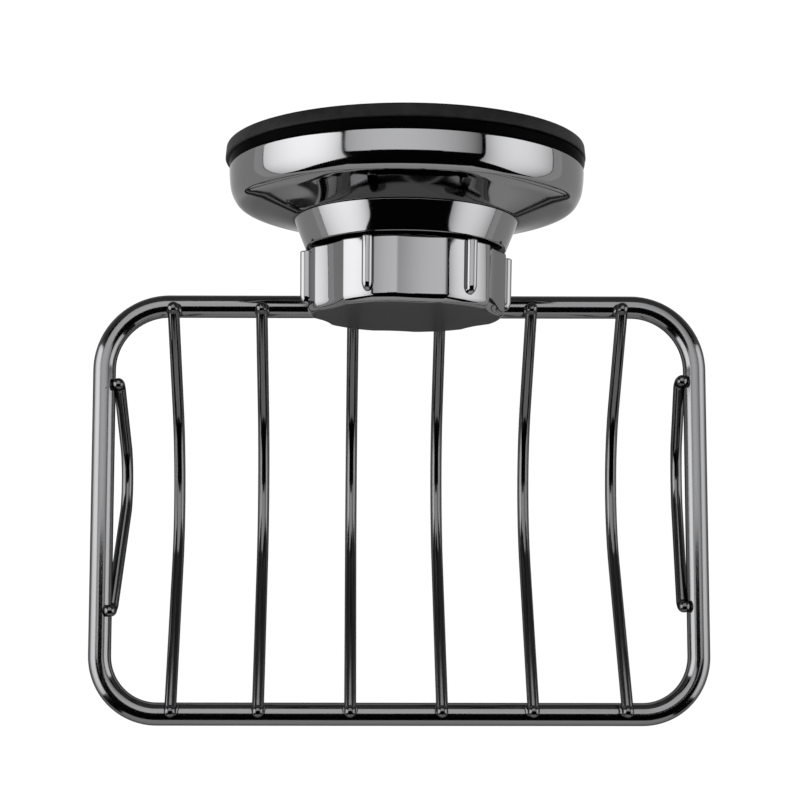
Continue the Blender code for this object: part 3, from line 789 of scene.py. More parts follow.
@dataclass
class WallHolder:
    """Suction pad, black frame, chrome cover and collar: everything that stays still on the wall."""

    # Rubber pad.
    pad_radius: float = 37.85 * MM
    pad_wall_radius: float = 37.6 * MM
    pad_rim: float = 2.75 * MM
    pad_rim_inner: float = 33.0 * MM
    pad_web_outer: float = 31.5 * MM
    pad_web: float = 2.2 * MM
    pad_floor: float = 2.4 * MM
    boss_radius: float = 11.9 * MM
    boss_foot: float = 13.1 * MM
    boss_top: float = 5.8 * MM
    cavity_radius: float = 9.3 * MM
    cavity_roof: float = 4.6 * MM
    bore_radius: float = 3.4 * MM
    pad_wall_round: float = 0.4 * MM
    pad_rim_round: float = 0.3 * MM
    pad_step_round: float = 0.6 * MM
    pad_web_round: float = 1.0 * MM
    boss_round: float = 0.8 * MM
    still_margin: float = 0.1 * MM
    # Black frame.
    frame_rear_radius: float = 37.5 * MM
    frame_front_radius: float = 36.95 * MM
    frame_rear: float = 2.85 * MM
    frame_front: float = 4.85 * MM
    frame_flange_inner: float = 29.0 * MM
    frame_ring_front: float = 8.9 * MM
    frame_web_rear: float = 8.6 * MM
    frame_web_front: float = 10.1 * MM
    frame_hub: float = 6.4 * MM
    frame_hub_front: float = 12.0 * MM
    frame_wall: float = 1.6 * MM
    frame_gap: float = 0.3 * MM
    frame_web_round: float = 0.4 * MM
    small_round: float = 0.25 * MM
    # Chrome cover; each bend is (radius, out, lean of its facing from the radial direction in degrees).
    cover_radius: float = 37.2 * MM
    cover_rear: float = 5.0 * MM
    cover_front: float = 15.45 * MM
    cover_lean_deg: float = 1.0
    cover_bends: tuple[Corner, ...] = (
        (36.8 * MM, 9.25 * MM, 12.7),
        (35.75 * MM, 11.5 * MM, 36.0),
        (34.1 * MM, 12.5 * MM, 73.0),
        (32.0 * MM, 13.05 * MM, 77.5),
    )
    hub_lean_deg: float = 72.5
    cover_wall: float = 1.6 * MM
    hub_radius: float = 23.3 * MM
    hole_radius: float = 12.2 * MM
    lip_round: float = 0.3 * MM
    bend_steps: int = 14
    # Chrome collar.
    collar_rear: float = 15.5 * MM
    collar_front: float = 21.6 * MM
    collar_rear_radius: float = 23.4 * MM
    collar_front_radius: float = 20.9 * MM
    collar_edge: float = 0.5 * MM
    collar_rear_edge: float = 0.1 * MM
    collar_wall: float = 1.8 * MM
    collar_recess_radius: float = 13.0 * MM
    collar_recess: float = 20.0 * MM
    spigot_radius: float = 11.9 * MM
    spigot_rear: float = 12.3 * MM
    spigot_edge: float = 0.3 * MM
    inner_edge: float = 0.15 * MM
    collar_edge_steps: int = 8
    # How frame, cover and collar sit on the soft pad.
    seat_turn_deg: float = -0.5
    seat_shift: float = 0.25 * MM

    def build(self) -> None:
        """Build and dress every piece that stays on the wall."""
        chrome = PlatedMetal("dark_chrome_cup").make()
        self.suction_pad()
        self.pressure_frame()
        settle(self.seated(self.cover()), chrome, Body.HOLDER, Slot.CHROME, "cover_dome")
        settle(self.seated(self.collar()), chrome, Body.HOLDER, Slot.CHROME, "neck_collar")
        refinish("friction_washer", MouldedRubber("rubber_washer").make())

    def suction_pad(self) -> None:
        """Build the rubber pad, with its boss round the stud and its rim on the wall, in place of the CAD
        pad.
        """
        corners = [
            (0, self.pad_floor, 0),
            (self.cavity_radius, self.pad_floor, 0),
            (self.cavity_radius, self.cavity_roof, 0),
            (self.bore_radius, self.cavity_roof, 0),
            (self.bore_radius, self.boss_top, self.small_round),
            (self.boss_radius, self.boss_top, self.boss_round),
            (self.boss_foot, self.pad_web, self.pad_web_round),
            (self.pad_web_outer, self.pad_web, self.pad_web_round),
            (self.pad_rim_inner, self.pad_rim, self.pad_step_round),
            (self.pad_radius, self.pad_rim, self.pad_rim_round),
            (self.pad_wall_radius, 0, self.pad_wall_round),
            (0, 0, 0),
        ]
        pad = turned("suction_pad_rubber", rounded(corners, closed=False), closed=False)
        pad.data.materials.append(MouldedRubber("pad_rubber").make())
        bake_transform(pad)
        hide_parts("suction_pad")
        log.info("%s bends with the stud", pad.name)

    def pressure_frame(self) -> None:
        """Build the black frame between the pad and the cover."""
        ring_outer = self.cover_bends[0][0] - self.cover_wall - self.frame_gap
        ring_inner = ring_outer - self.frame_wall
        corners = [
            (self.bore_radius, self.frame_hub_front, self.small_round),
            (self.frame_hub, self.frame_hub_front, self.small_round),
            (self.frame_hub, self.frame_web_front, self.frame_web_round),
            (ring_inner, self.frame_web_front, 0),
            (ring_inner, self.frame_ring_front, 0),
            (ring_outer, self.frame_ring_front, self.small_round),
            (ring_outer, self.frame_front, 0),
            (self.frame_front_radius, self.frame_front, self.small_round),
            (self.frame_rear_radius, self.frame_rear, self.small_round),
            (self.frame_flange_inner, self.frame_rear, self.small_round),
            (self.frame_flange_inner, self.frame_web_rear, self.frame_web_round),
            (self.bore_radius, self.frame_web_rear, self.small_round),
        ]
        ring = self.seated(turned("pressure_ring", rounded(corners)))
        settle(ring, GlossPlastic("black_plastic_ring").make(), Body.HOLDER, Slot.PLASTIC, "pressure_frame")

    def seated(self, piece: bpy.types.Object) -> bpy.types.Object:
        """Turn and shift a piece a little, as it sits on the soft pad.

        Args:
            piece: The piece.

        Returns:
            The same piece.
        """
        seat = Vector((0, -self.pad_rim, 0))
        turn = Matrix.Rotation(math.radians(self.seat_turn_deg), 4, "Z")
        shift = Vector((self.seat_shift, 0, 0))
        piece.data.transform(Matrix.Translation(seat + shift) @ turn @ Matrix.Translation(-seat))
        return piece

    def skin(self, inset: float) -> list[Point]:
        """Return the cover's section from its hub to its rear edge.

        Args:
            inset: Distance of the line inside the outer skin.

        Returns:
            Points as (radius, out); between two bends the line leaves each along its own lean.
        """
        stations = [(self.hub_radius, self.cover_front, self.hub_lean_deg), *reversed(self.cover_bends),
                    (self.cover_radius, self.cover_rear, self.cover_lean_deg)]
        spots = []
        for radius, out, lean_deg in stations:
            lean = math.radians(lean_deg)
            facing = Vector((math.cos(lean), math.sin(lean)))
            spots.append((Vector((radius, out)) - facing * inset, Vector((facing.y, -facing.x))))
        line = [tuple(spots[0][0])]
        for (start, leaving), (end, arriving) in zip(spots, spots[1:]):
            chord = end - start
            share = chord.cross(arriving) / leaving.cross(arriving)
            knee = start + leaving * share
            for step in range(1, self.bend_steps + 1):
                along = step / self.bend_steps
                spot = start * (1 - along) ** 2 + knee * 2 * along * (1 - along) + end * along**2
                line.append(tuple(spot))
        return line

    def cover(self) -> bpy.types.Object:
        """Build the chrome cover: a rim, a long rounded corner and a face that rises to a flat hub.

        Returns:
            The cover.
        """
        outer = self.skin(0.0)
        inner = self.skin(self.cover_wall)
        rear_outer = (*outer[-1], self.lip_round)
        rear_inner = (inner[-1][0], outer[-1][1], self.lip_round)
        lip = rounded([(*outer[-2], 0), rear_outer, rear_inner, (*inner[-2], 0)], closed=False)
        outline = [(self.hole_radius, self.cover_front)] + outer[:-1] + lip[1:-1] + inner[-2::-1]
        outline.append((self.hole_radius, self.cover_front - self.cover_wall))
        return turned("chrome_cover", outline)

    def collar(self) -> bpy.types.Object:
        """Build the conical chrome collar with its spigot and its washer recess.

        Returns:
            The collar.
        """
        wall_rear = self.collar_recess - self.collar_wall
        corners = [
            (self.bore_radius, self.collar_recess, 0),
            (self.collar_recess_radius, self.collar_recess, 0),
            (self.collar_recess_radius, self.collar_front, self.inner_edge),
            (self.collar_front_radius, self.collar_front, self.collar_edge),
            (self.collar_rear_radius, self.collar_rear, self.collar_rear_edge),
            (self.collar_rear_radius - self.collar_wall, self.collar_rear, self.inner_edge),
            (self.collar_front_radius - self.collar_wall, wall_rear, 0),
            (self.spigot_radius, wall_rear, 0),
            (self.spigot_radius, self.spigot_rear, self.spigot_edge),
            (self.bore_radius, self.spigot_rear, self.inner_edge),
        ]
        return turned("chrome_collar", rounded(corners, steps=self.collar_edge_steps))


@dataclass
class ScrewKnob:
    """Fluted knob with six half-round ridges, hollow behind, round a post that holds the nut."""

    rear: float = 22.4 * MM
    length: float = 13.2 * MM
    radius: float = 20.8 * MM
    taper: float = 0.2 * MM
    flute_depth: float = 1.1 * MM
    flute_half_deg: float = 13.75
    # How far each flute's edge is softened to either side, as a share of the flute's half width.
    flute_edge: float = 0.06
    ridges: int = 6
    first_ridge_deg: float = 53.8
    # How the knob sits with the cup.
    seat_turn_deg: float = -0.5
    seat_shift: float = 0.5 * MM
    # Ridges and the edge of the face.
    ridge_radius: float = 1.2 * MM
    ridge_stand: float = 1.6 * MM
    ridge_end_setback: float = 2.0 * MM
    ridge_end_length: float = 2.0 * MM
    edge_round: float = 1.8 * MM
    rear_chamfer: float = 0.3 * MM
    face_ring_share: float = 0.55
    # Hollow, post and nut pocket.
    front_wall: float = 1.6 * MM
    cavity_radius: float = 17.4 * MM
    post_radius: float = 9.5 * MM
    seat_depth: float = 1.1 * MM
    pocket_across_flats: float = 10.6 * MM
    pocket_front: float = 30.3 * MM
    bore_radius: float = 3.4 * MM
    # Facets.
    ridge_points: int = 25
    flute_points: int = 28
    edge_points: int = 6
    ring_steps: int = 10

    def build(self) -> None:
        """Build and dress the knob and what it holds."""
        chrome = PlatedMetal("dark_chrome_knob", edge_tone=0.60, satin_face=0.28).make()
        shell = self.shell()
        turn = Matrix.Rotation(math.radians(self.seat_turn_deg), 4, "Z")
        shell.data.transform(Matrix.Translation((self.seat_shift, 0, 0)) @ turn)
        settle(shell, chrome, Body.KNOB, Slot.CHROME, "knob_shell")
        brass = TurnedMetal("brass_nut", (0.60, 0.42, 0.18), (0.78, 0.57, 0.28), ring_height=0.004 * MM)
        refinish("knob_nut", brass.make())
        refinish("bearing_washer", TurnedMetal("steel_washer", ring_height=0.004 * MM).make())
        refinish("screw_stud", TurnedMetal("threaded_steel").make())

    def angles(self) -> list[float]:
        """List the angles round the knob, close together on each ridge and at each flute's edges.

        Returns:
            The angles in turn.
        """
        pitch = 2 * math.pi / self.ridges
        half = self.ridge_radius / self.radius
        flute_half = math.radians(self.flute_half_deg)
        stops = [
            (pitch / 2 - flute_half * (1 + self.flute_edge), self.edge_points),
            (pitch / 2 - flute_half * (1 - self.flute_edge), self.edge_points),
            (pitch / 2 + flute_half * (1 - self.flute_edge), self.flute_points),
            (pitch / 2 + flute_half * (1 + self.flute_edge), self.edge_points),
            (pitch - half, self.edge_points),
        ]
        angles = []
        for ridge in range(self.ridges):
            centre = math.radians(self.first_ridge_deg) + ridge * pitch
            for step in range(self.ridge_points):
                angles.append(centre - half * math.cos(math.pi * step / (self.ridge_points - 1)))
            here = half
            for stop, points in stops:
                angles += [centre + here + (stop - here) * step / points for step in range(1, points + 1)]
                here = stop
            angles.pop()
        return angles

    def flute_drop(self, share: float) -> float:
        """Return how deep a flute is cut.

        Args:
            share: Distance from the flute's middle, where 1 is its edge.

        Returns:
            The depth, which runs out softly a little beyond the edge.
        """
        soft = self.flute_edge
        if share >= 1 + soft:
            return 0.0
        if share <= 1 - soft:
            return self.flute_depth * (1 - share**2)
        return self.flute_depth * (2 * soft - soft**2) * ((1 + soft - share) / (2 * soft)) ** 2

    def side_radius(self, angle: float, ridge_share: float, inset: float) -> float:
        """Return the knob's radius at an angle.

        Args:
            angle: Angle round the stud axis.
            ridge_share: How much of the ridges stands at this ring.
            inset: How far the skin is set in at this ring.

        Returns:
            The radius.
        """
        pitch = 2 * math.pi / self.ridges
        offset = abs((angle - math.radians(self.first_ridge_deg) + pitch / 2) % pitch - pitch / 2)
        body = self.radius - inset - self.flute_drop((pitch / 2 - offset) / math.radians(self.flute_half_deg))
        if ridge_share <= 0:
            return body
        across = offset * self.radius / (self.ridge_radius * ridge_share)
        if across >= 1:
            return body
        return body + self.ridge_stand * ridge_share * math.sqrt(1 - across**2)

    def side_rings(self) -> list[tuple[float, float, float]]:
        """List the rings of the knob's side from rear to front.

        Returns:
            Each ring as (out, share of the ridges that stands there, inset of the skin).
        """
        front = self.rear + self.length
        turns = [math.pi / 2 * step / self.ring_steps for step in range(self.ring_steps + 1)]
        rings = [(self.rear + self.rear_chamfer * (1 - math.cos(turn)), 1.0,
                  self.rear_chamfer * (1 - math.sin(turn))) for turn in turns[::2]]
        ridge_end = front - self.ridge_end_setback
        rings += [(ridge_end - self.ridge_end_length * (1 - math.sin(turn)), math.cos(turn), 0.0)
                  for turn in turns]
        rings += [(front - self.edge_round * (1 - math.sin(turn)), 0.0,
                   self.edge_round * (1 - math.cos(turn))) for turn in turns]
        return [(out, share, inset + self.taper * (out - self.rear) / self.length)
                for out, share, inset in rings]

    def shell(self) -> bpy.types.Object:
        """Build the knob's shell, closed all round.

        Returns:
            The shell.
        """
        shape = bmesh.new()
        angles = self.angles()
        front = self.rear + self.length
        inner_front = front - self.front_wall
        seat = self.rear + self.seat_depth

        def ring(out: float, radius_at: Callable[[float], float]) -> Ring:
            """Add one ring at a distance out, with a radius for each angle."""
            return [shape.verts.new(on_axis(radius_at(angle), angle, out)) for angle in angles]

        def round_ring(out: float, radius: float) -> Ring:
            """Add a plain circle."""
            return ring(out, lambda angle: radius)

        def hexagon_ring(out: float) -> Ring:
            """Add the nut pocket's six-sided outline."""
            return ring(out, lambda angle: self.pocket_across_flats / 2
                        / math.cos((angle + math.pi / 6) % (math.pi / 3) - math.pi / 6))

        front_pole = [shape.verts.new((0, -front, 0))]
        rings = [ring(out, lambda angle, ridge=ridge, inset=inset: self.side_radius(angle, ridge, inset))
                 for out, ridge, inset in self.side_rings()]
        face = ring(front, lambda angle: self.side_radius(angle, 0.0, self.edge_round) * self.face_ring_share)
        inner = [
            round_ring(self.rear, self.cavity_radius),
            round_ring(inner_front, self.cavity_radius),
            round_ring(inner_front, self.post_radius),
            round_ring(seat, self.post_radius),
            hexagon_ring(seat),
            hexagon_ring(self.pocket_front),
            round_ring(self.pocket_front, self.bore_radius),
            round_ring(inner_front, self.bore_radius),
            [shape.verts.new((0, -inner_front, 0))],
        ]
        order = list(reversed(inner)) + rings + [face, front_pole]
        for first, second in zip(order, order[1:]):
            bridge(shape, first, second)
        return solid_from(shape, "fluted_knob", smooth_deg=40.0)


@dataclass
class WireBasket:
    """Round-cornered rail, six sagging cross wires, two side wires and the hanger plate."""

    # Rail, measured on its centreline.
    rail_radius: float = 2.5 * MM
    rail_width: float = 131.1 * MM
    rail_depth: float = 89.45 * MM
    rail_drop: float = 27.9 * MM
    rail_rear: float = 28.9 * MM
    rear_corner: float = 14.2 * MM
    front_corner: float = 12.6 * MM
    front_left_in: float = 0.2 * MM
    rear_right_in: float = 0.72 * MM
    # Cross wires; their places on the rear and front rail are in millimetres from the middle.
    wire_radius: float = 1.3 * MM
    wire_gap: float = 0.3 * MM
    rear_places: tuple[float, ...] = (-50.2, -30.8, -10.7, 8.5, 28.7, 48.8)
    front_places: tuple[float, ...] = (-49.45, -30.7, -10.9, 8.9, 28.6, 49.0)
    knee_share: float = 0.424
    arm_drop: float = 23.5 * MM
    low_bend: float = 40.0 * MM
    tip_height: float = 4.75 * MM
    tip_length: float = 0.9 * MM
    tip_splay: float = 0.35 * MM
    tip_bend: float = 1.6 * MM
    tip_flatness: float = 0.9
    rear_tip_inset: float = 1.15 * MM
    front_tip_inset: float = 0.75 * MM
    # Side wires; a pair of pairs is the left wire's rear and front value, then the right one's.
    side_insets: tuple[Point, Point] = ((17.6 * MM, 22.2 * MM), (16.7 * MM, 23.3 * MM))
    side_leans: Point = (-0.56 * MM, 1.67 * MM)
    side_tip_reaches: tuple[Point, Point] = ((3.3 * MM, 2.5 * MM), (3.15 * MM, 3.3 * MM))
    side_shoulder: float = -0.6 * MM
    side_swing: float = 5.0 * MM
    side_knee: float = -13.8 * MM
    side_low_share: float = 0.40
    side_bends: Point = (2.2 * MM, 14.0 * MM)
    side_bend_steps: int = 18
    # Hanger plate.
    plate_thickness: float = 0.4 * MM
    plate_rear: float = 21.79 * MM
    eye_radius: float = 14.0 * MM
    eye_bore: float = 3.4 * MM
    tongue_width: float = 24.0 * MM
    tongue_foot: float = 3.6 * MM
    tongue_corner: float = 2.0 * MM
    jog: float = 3.8 * MM
    jog_height: float = -23.4 * MM
    jog_blend: float = 0.8 * MM
    jog_slices: int = 8
    jog_slices_beyond: int = 4
    plate_edge: float = 0.18 * MM
    plate_edge_steps: int = 3
    # Edges whose faces meet at more than this many radians are broken.
    rim_angle: float = 1.2
    eye_steps: int = 64
    tongue_corner_steps: int = 10
    # Welds of the cross wires.
    weld_width: float = 1.65 * MM
    weld_height: float = 0.85 * MM
    weld_lean_deg: float = 27.0
    weld_spread_deg: float = 35.0
    weld_ends: float = 0.25
    weld_wobble: Point = (0.92, 1.08)
    weld_ripple: float = 0.05
    weld_ripple_turns: float = 9.0
    weld_steps: int = 20
    weld_sides: int = 24
    weld_tip_steps: int = 5
    # Seeded, so that each run gives the same welds.
    chance: random.Random = field(default_factory=lambda: random.Random(11))
    # Welds of the side wires, which reach down to a numbered point of the wire's path.
    side_weld_radius: float = 0.6 * MM
    side_weld_flatness: float = 0.9
    side_weld_start: float = -0.08
    side_weld_length: float = 0.95
    side_weld_ends: float = 0.3
    side_weld_steps: int = 16
    side_weld_sides: int = 20
    side_weld_point: int = 14
    # Facets.
    path_steps: int = 72
    corner_steps: int = 28
    rail_sides: int = 48
    wire_sides: int = 32

    def build(self) -> None:
        """Build and dress the basket."""
        nickel = DrawnWireMetal("black_nickel_wire", tone=0.10).make()
        rail_nickel = DrawnWireMetal("black_nickel_rail", tone=0.155).make()
        settle(self.racked(self.rail()), rail_nickel, Body.BASKET, Slot.NICKEL, "outer_rail")
        profile = self.cross_profile()
        for index in range(len(self.rear_places)):
            wire = self.racked(self.cross_wire(index, profile))
            settle(wire, nickel, Body.BASKET, Slot.NICKEL, f"cross_wire_{index + 1}")
        for side in Side:
            wire = self.racked(self.side_wire(side))
            settle(wire, nickel, Body.BASKET, Slot.NICKEL, f"side_wire_{side.name.lower()}")
        steel = BrushedSteel("hanger_steel").make()
        settle(self.hanger(), steel, Body.BASKET, Slot.STEEL, "hanger_plate")

    @property
    def reach(self) -> float:
        """Distance between the centrelines of a wire and the rail where they are welded."""
        return self.rail_radius + self.wire_radius + self.wire_gap

    def racked(self, piece: bpy.types.Object) -> bpy.types.Object:
        """Rack a piece, so that the basket's rear side comes nearer the wall to the right.

        Args:
            piece: The piece.

        Returns:
            The same piece.
        """
        for vert in piece.data.vertices:
            across = 0.5 + vert.co.x / self.rail_width
            rearward = 1 + (vert.co.y + self.rail_rear) / self.rail_depth
            vert.co.y += self.rear_right_in * across * min(max(rearward, 0.0), 1.0)
        return piece

    def rail_path(self) -> list[Vector]:
        """Lay out the rail's closed centreline.

        Returns:
            Its points, from the middle of the rear side.
        """
        half = self.rail_width / 2
        front = self.rail_rear + self.rail_depth
        corners = [
            (half, self.rail_rear, self.rear_corner, -90),
            (half, front, self.front_corner, 0),
            (self.front_left_in - half, front, self.front_corner, 90),
            (-half, self.rail_rear, self.rear_corner, 180),
        ]
        bends = []
        for x, out, radius, start_deg in corners:
            centre_x = x - math.copysign(radius, x)
            centre_out = out + radius if out == self.rail_rear else out - radius
            turn = arc((centre_x, centre_out), radius, start_deg, 90, self.corner_steps)
            bends.append([Vector((across, -away, -self.rail_drop)) for across, away in turn])
        middle = Vector((0, -self.rail_rear, -self.rail_drop))
        path = [middle]
        for bend in bends:
            path += self.straight(path[-1], bend[0])[1:] + bend[1:]
        path += self.straight(path[-1], middle)[1:-1]
        return path

    @staticmethod
    def straight(start: Vector, end: Vector, step: float = 2.5 * MM) -> list[Vector]:
        """Return points along a straight run, a step apart."""
        count = max(2, round((end - start).length / step))
        return [start.lerp(end, index / count) for index in range(count + 1)]

    def rail(self) -> bpy.types.Object:
        """Return the rail."""
        return swept("basket_rail", self.rail_path(), self.rail_radius, self.rail_sides, closed=True,
                     side_hint=Vector((0, 0, 1)))

    def over_rail(self, tip_inset: float, lean: float) -> list[Vector]:
        """Lay out a cross wire's end from the rail's centre: a short upturned tip, then the slope.

        Args:
            tip_inset: How far inside the rail's centre the wire's end lies.
            lean: Slope that the wire leaves the rail with.

        Returns:
            The points as (run, height), from the tip inwards.
        """
        bend = Vector((tip_inset + self.tip_splay, self.tip_height))
        tip = bend + Vector((-self.tip_splay, self.tip_length))
        foot = bend + Vector((math.cos(lean), -math.sin(lean))) * self.reach / 2
        return [Vector(at) for at in rounded([(*tip, 0), (*bend, self.tip_bend), (*foot, 0)], closed=False)]

    def cross_profile(self) -> list[Vector]:
        """Lay out a cross wire's centreline: two straight arms that sag to a wide knee, and both ends.

        Returns:
            The points as (run, height) from the rear rail's centre.
        """
        knee = Vector((self.rail_depth * self.knee_share, -self.arm_drop))
        rear_end = self.over_rail(self.rear_tip_inset, math.atan2(self.arm_drop, knee.x))
        mirrored = self.over_rail(self.front_tip_inset, math.atan2(self.arm_drop, self.rail_depth - knee.x))
        front_end = [Vector((self.rail_depth - at.x, at.y)) for at in reversed(mirrored)]
        arms = [(*rear_end[-1], 0), (*knee, self.low_bend), (*front_end[0], 0)]
        low = [Vector(at) for at in rounded(arms, steps=self.path_steps, closed=False)]
        return rear_end + low[1:-1] + front_end

    def cross_wire(self, index: int, profile: Sequence[Vector]) -> bpy.types.Object:
        """Build one cross wire with its welds.

        Args:
            index: Its place in the row, from 0 at the left.
            profile: The centreline in (run, height).

        Returns:
            The wire.
        """
        rear_x = self.rear_places[index] * MM
        front_x = self.front_places[index] * MM
        path = []
        for at in profile:
            x = rear_x + (front_x - rear_x) * at.x / self.rail_depth
            path.append(Vector((x, -(self.rail_rear + at.x), at.y - self.rail_drop)))
        wire = swept(f"basket_wire_{index + 1}", path, self.wire_radius, self.wire_sides,
                     tip_share=self.tip_flatness)
        lean = math.radians(self.weld_lean_deg)
        rear_rail = Vector((rear_x, -self.rail_rear, -self.rail_drop))
        front_rail = Vector((front_x, -(self.rail_rear + self.rail_depth), -self.rail_drop))
        welds = [
            self.weld("rear_weld", rear_rail, Vector((0, -1, 0)), Vector((0, 0, 1)), lean),
            self.weld("front_weld", front_rail, Vector((0, 1, 0)), Vector((0, 0, 1)), lean),
        ]
        return merged(wire, welds)

    def weld(self, name: str, centre: Vector, inward: Vector, up: Vector, lean: float) -> bpy.types.Object:
        """Build the weld metal between a wire and the rail, which hugs the rail's round side.

        Args:
            name: The piece's name.
            centre: The rail's centre there.
            inward: Direction across the rail, towards the basket's middle.
            up: Direction away from the rail, square to it.
            lean: Angle of the contact from up towards inward.

        Returns:
            The weld.
        """
        spread = math.radians(self.weld_spread_deg)
        path = []
        for step in range(self.weld_steps + 1):
            angle = lean + spread * (2 * step / self.weld_steps - 1)
            path.append(centre + (inward * math.sin(angle) + up * math.cos(angle)) * self.rail_radius)
        stretch, phase, girth = (self.chance.uniform(*self.weld_wobble) for _ in range(3))

        def swell(share: float) -> Point:
            """Return the weld's width and height factors.

            Args:
                share: A share of the weld's length.

            Returns:
                The two factors, with a slow ripple in the width.
            """
            thick = belly(share, self.weld_ends)
            ripple = 1 + self.weld_ripple * math.sin(self.weld_ripple_turns * share * stretch + phase)
            return thick * ripple * girth, thick * self.weld_height / self.weld_width

        return swept(name, path, self.weld_width, self.weld_sides, swell=swell,
                     tip_steps=self.weld_tip_steps, side_hint=inward.cross(up))

    def side_profile(self, side: Side) -> list[Vector]:
        """Lay out a side wire's centreline: an upright end, a slope to a wide bend, a slope up and an end.

        Args:
            side: The basket's side.

        Returns:
            The points as (run, height) from the rear rail's centre.
        """
        rear, front_inset = side.of(self.side_insets)
        front = self.rail_depth - front_inset
        low = rear + (front - rear) * self.side_low_share
        tip_bend, low_bend = self.side_bends
        touching = self.rail_radius + self.wire_radius
        rises = [math.sqrt(touching**2 - reach**2) for reach in side.of(self.side_tip_reaches)]
        corners = [
            (rear, rises[0], 0),
            (rear, self.side_shoulder, tip_bend),
            (low, self.side_knee, low_bend),
            (front, self.side_shoulder, tip_bend),
            (front, rises[1], 0),
        ]
        return [Vector(point) for point in rounded(corners, steps=self.side_bend_steps, closed=False)]

    def side_reach(self, side: Side, at: Vector) -> float:
        """Return how far inside the side rail's centre a side wire runs.

        Args:
            side: The basket's side.
            at: The point as (run, height) from the rear rail's centre.

        Returns:
            The distance, which swings clear of the rail below the upright ends.
        """
        rear_reach, front_reach = side.of(self.side_tip_reaches)
        rear_inset, front_inset = side.of(self.side_insets)
        share = (at.x - rear_inset) / (self.rail_depth - front_inset - rear_inset)
        welded = rear_reach + (front_reach - rear_reach) * share
        clear = self.rail_radius + self.wire_radius - side.of(self.side_leans) * at.y / self.side_knee
        swing = min(max((self.side_shoulder - at.y) / self.side_swing, 0.0), 1.0)
        return welded + (clear - welded) * swing

    def side_wire(self, side: Side) -> bpy.types.Object:
        """Build the short wire along the inside of one side rail, with its welds.

        Args:
            side: The basket's side.

        Returns:
            The wire.
        """
        path = []
        for at in self.side_profile(side):
            x = side.value * (self.rail_width / 2 - self.side_reach(side, at))
            path.append(Vector((x, -(self.rail_rear + at.x), at.y - self.rail_drop)))
        wire = swept(f"basket_side_wire_{side.name.lower()}", path, self.wire_radius, self.wire_sides,
                     tip_share=self.tip_flatness)
        welds = [
            self.side_weld("rear_weld", side, path[0], path[self.side_weld_point]),
            self.side_weld("front_weld", side, path[-1], path[-1 - self.side_weld_point]),
        ]
        return merged(wire, welds)

    def side_weld(self, name: str, side: Side, end: Vector, inside: Vector) -> bpy.types.Object:
        """Build the weld metal along a side wire's end, in the groove between the wire and the rail.

        Args:
            name: The piece's name.
            side: The basket's side.
            end: The wire's last point.
            inside: A point of the wire further along.

        Returns:
            The weld.
        """
        rail_x = side.value * self.rail_width / 2
        path = []
        for step in range(self.side_weld_steps + 1):
            along = step / self.side_weld_steps * self.side_weld_length + self.side_weld_start
            spot = end.lerp(inside, along)
            rail_spot = Vector((rail_x, spot.y, -self.rail_drop))
            towards = (rail_spot - spot).normalized()
            path.append(spot + towards * self.wire_radius)

        def swell(share: float) -> Point:
            """Return the weld's width and height factors at a share of its length."""
            thick = belly(share, self.side_weld_ends)
            return thick, thick * self.side_weld_flatness

        return swept(name, path, self.side_weld_radius, self.side_weld_sides, swell=swell,
                     tip_steps=self.weld_tip_steps)

    def hanger_outline(self) -> list[Point]:
        """Lay out the flat plate's outline: the eye's circle running into the tongue.

        Returns:
            The points as (x, z).
        """
        half = self.tongue_width / 2
        foot = -(self.rail_drop + self.tongue_foot)
        meet = math.degrees(math.asin(half / self.eye_radius))
        outline = arc((0.0, 0.0), self.eye_radius, meet - 90, 360 - 2 * meet, self.eye_steps)
        inner = half - self.tongue_corner
        for centre_x, start_deg in ((-inner, 180), (inner, 270)):
            centre = (centre_x, foot + self.tongue_corner)
            outline += arc(centre, self.tongue_corner, start_deg, 90, self.tongue_corner_steps)
        return outline

    def hanger(self) -> bpy.types.Object:
        """Build the stamped plate with its bore, its broken edges and its jogged tongue.

        Returns:
            The plate.
        """
        shape = bmesh.new()
        bore = arc((0.0, 0.0), self.eye_bore, 0, 360, self.eye_steps)[:-1]
        edges = []
        for line in (self.hanger_outline(), bore):
            verts = [shape.verts.new((x, 0, z)) for x, z in line]
            edges += [shape.edges.new((first, second)) for first, second in zip(verts, verts[1:] + verts[:1])]
        bmesh.ops.triangle_fill(shape, use_beauty=True, use_dissolve=True, edges=edges)
        risen = bmesh.ops.extrude_face_region(shape, geom=shape.faces[:])
        rear = [item for item in risen["geom"] if isinstance(item, bmesh.types.BMVert)]
        bmesh.ops.translate(shape, verts=rear, vec=(0, self.plate_thickness, 0))
        bmesh.ops.recalc_face_normals(shape, faces=shape.faces)
        rims = [edge for edge in shape.edges if edge.is_manifold and edge.calc_face_angle() > self.rim_angle]
        bmesh.ops.bevel(shape, geom=rims, offset=self.plate_edge, segments=self.plate_edge_steps,
                        affect="EDGES", profile=0.5)
        for step in range(-self.jog_slices_beyond, self.jog_slices + self.jog_slices_beyond + 1):
            height = self.jog_height - self.jog * step / self.jog_slices
            geometry = shape.verts[:] + shape.edges[:] + shape.faces[:]
            bmesh.ops.bisect_plane(shape, geom=geometry, plane_co=(0, 0, height), plane_no=(0, 0, 1),
                                   dist=1e-7)
        for vert in shape.verts:
            below = self.jog_height + self.jog_blend - vert.co.z
            share = min(max(below / (self.jog + 2 * self.jog_blend), 0), 1)
            vert.co.y -= self.plate_rear + self.plate_thickness + self.jog * share * share * (3 - 2 * share)
        return solid_from(shape, "hanger_bracket", smooth_deg=40.0)


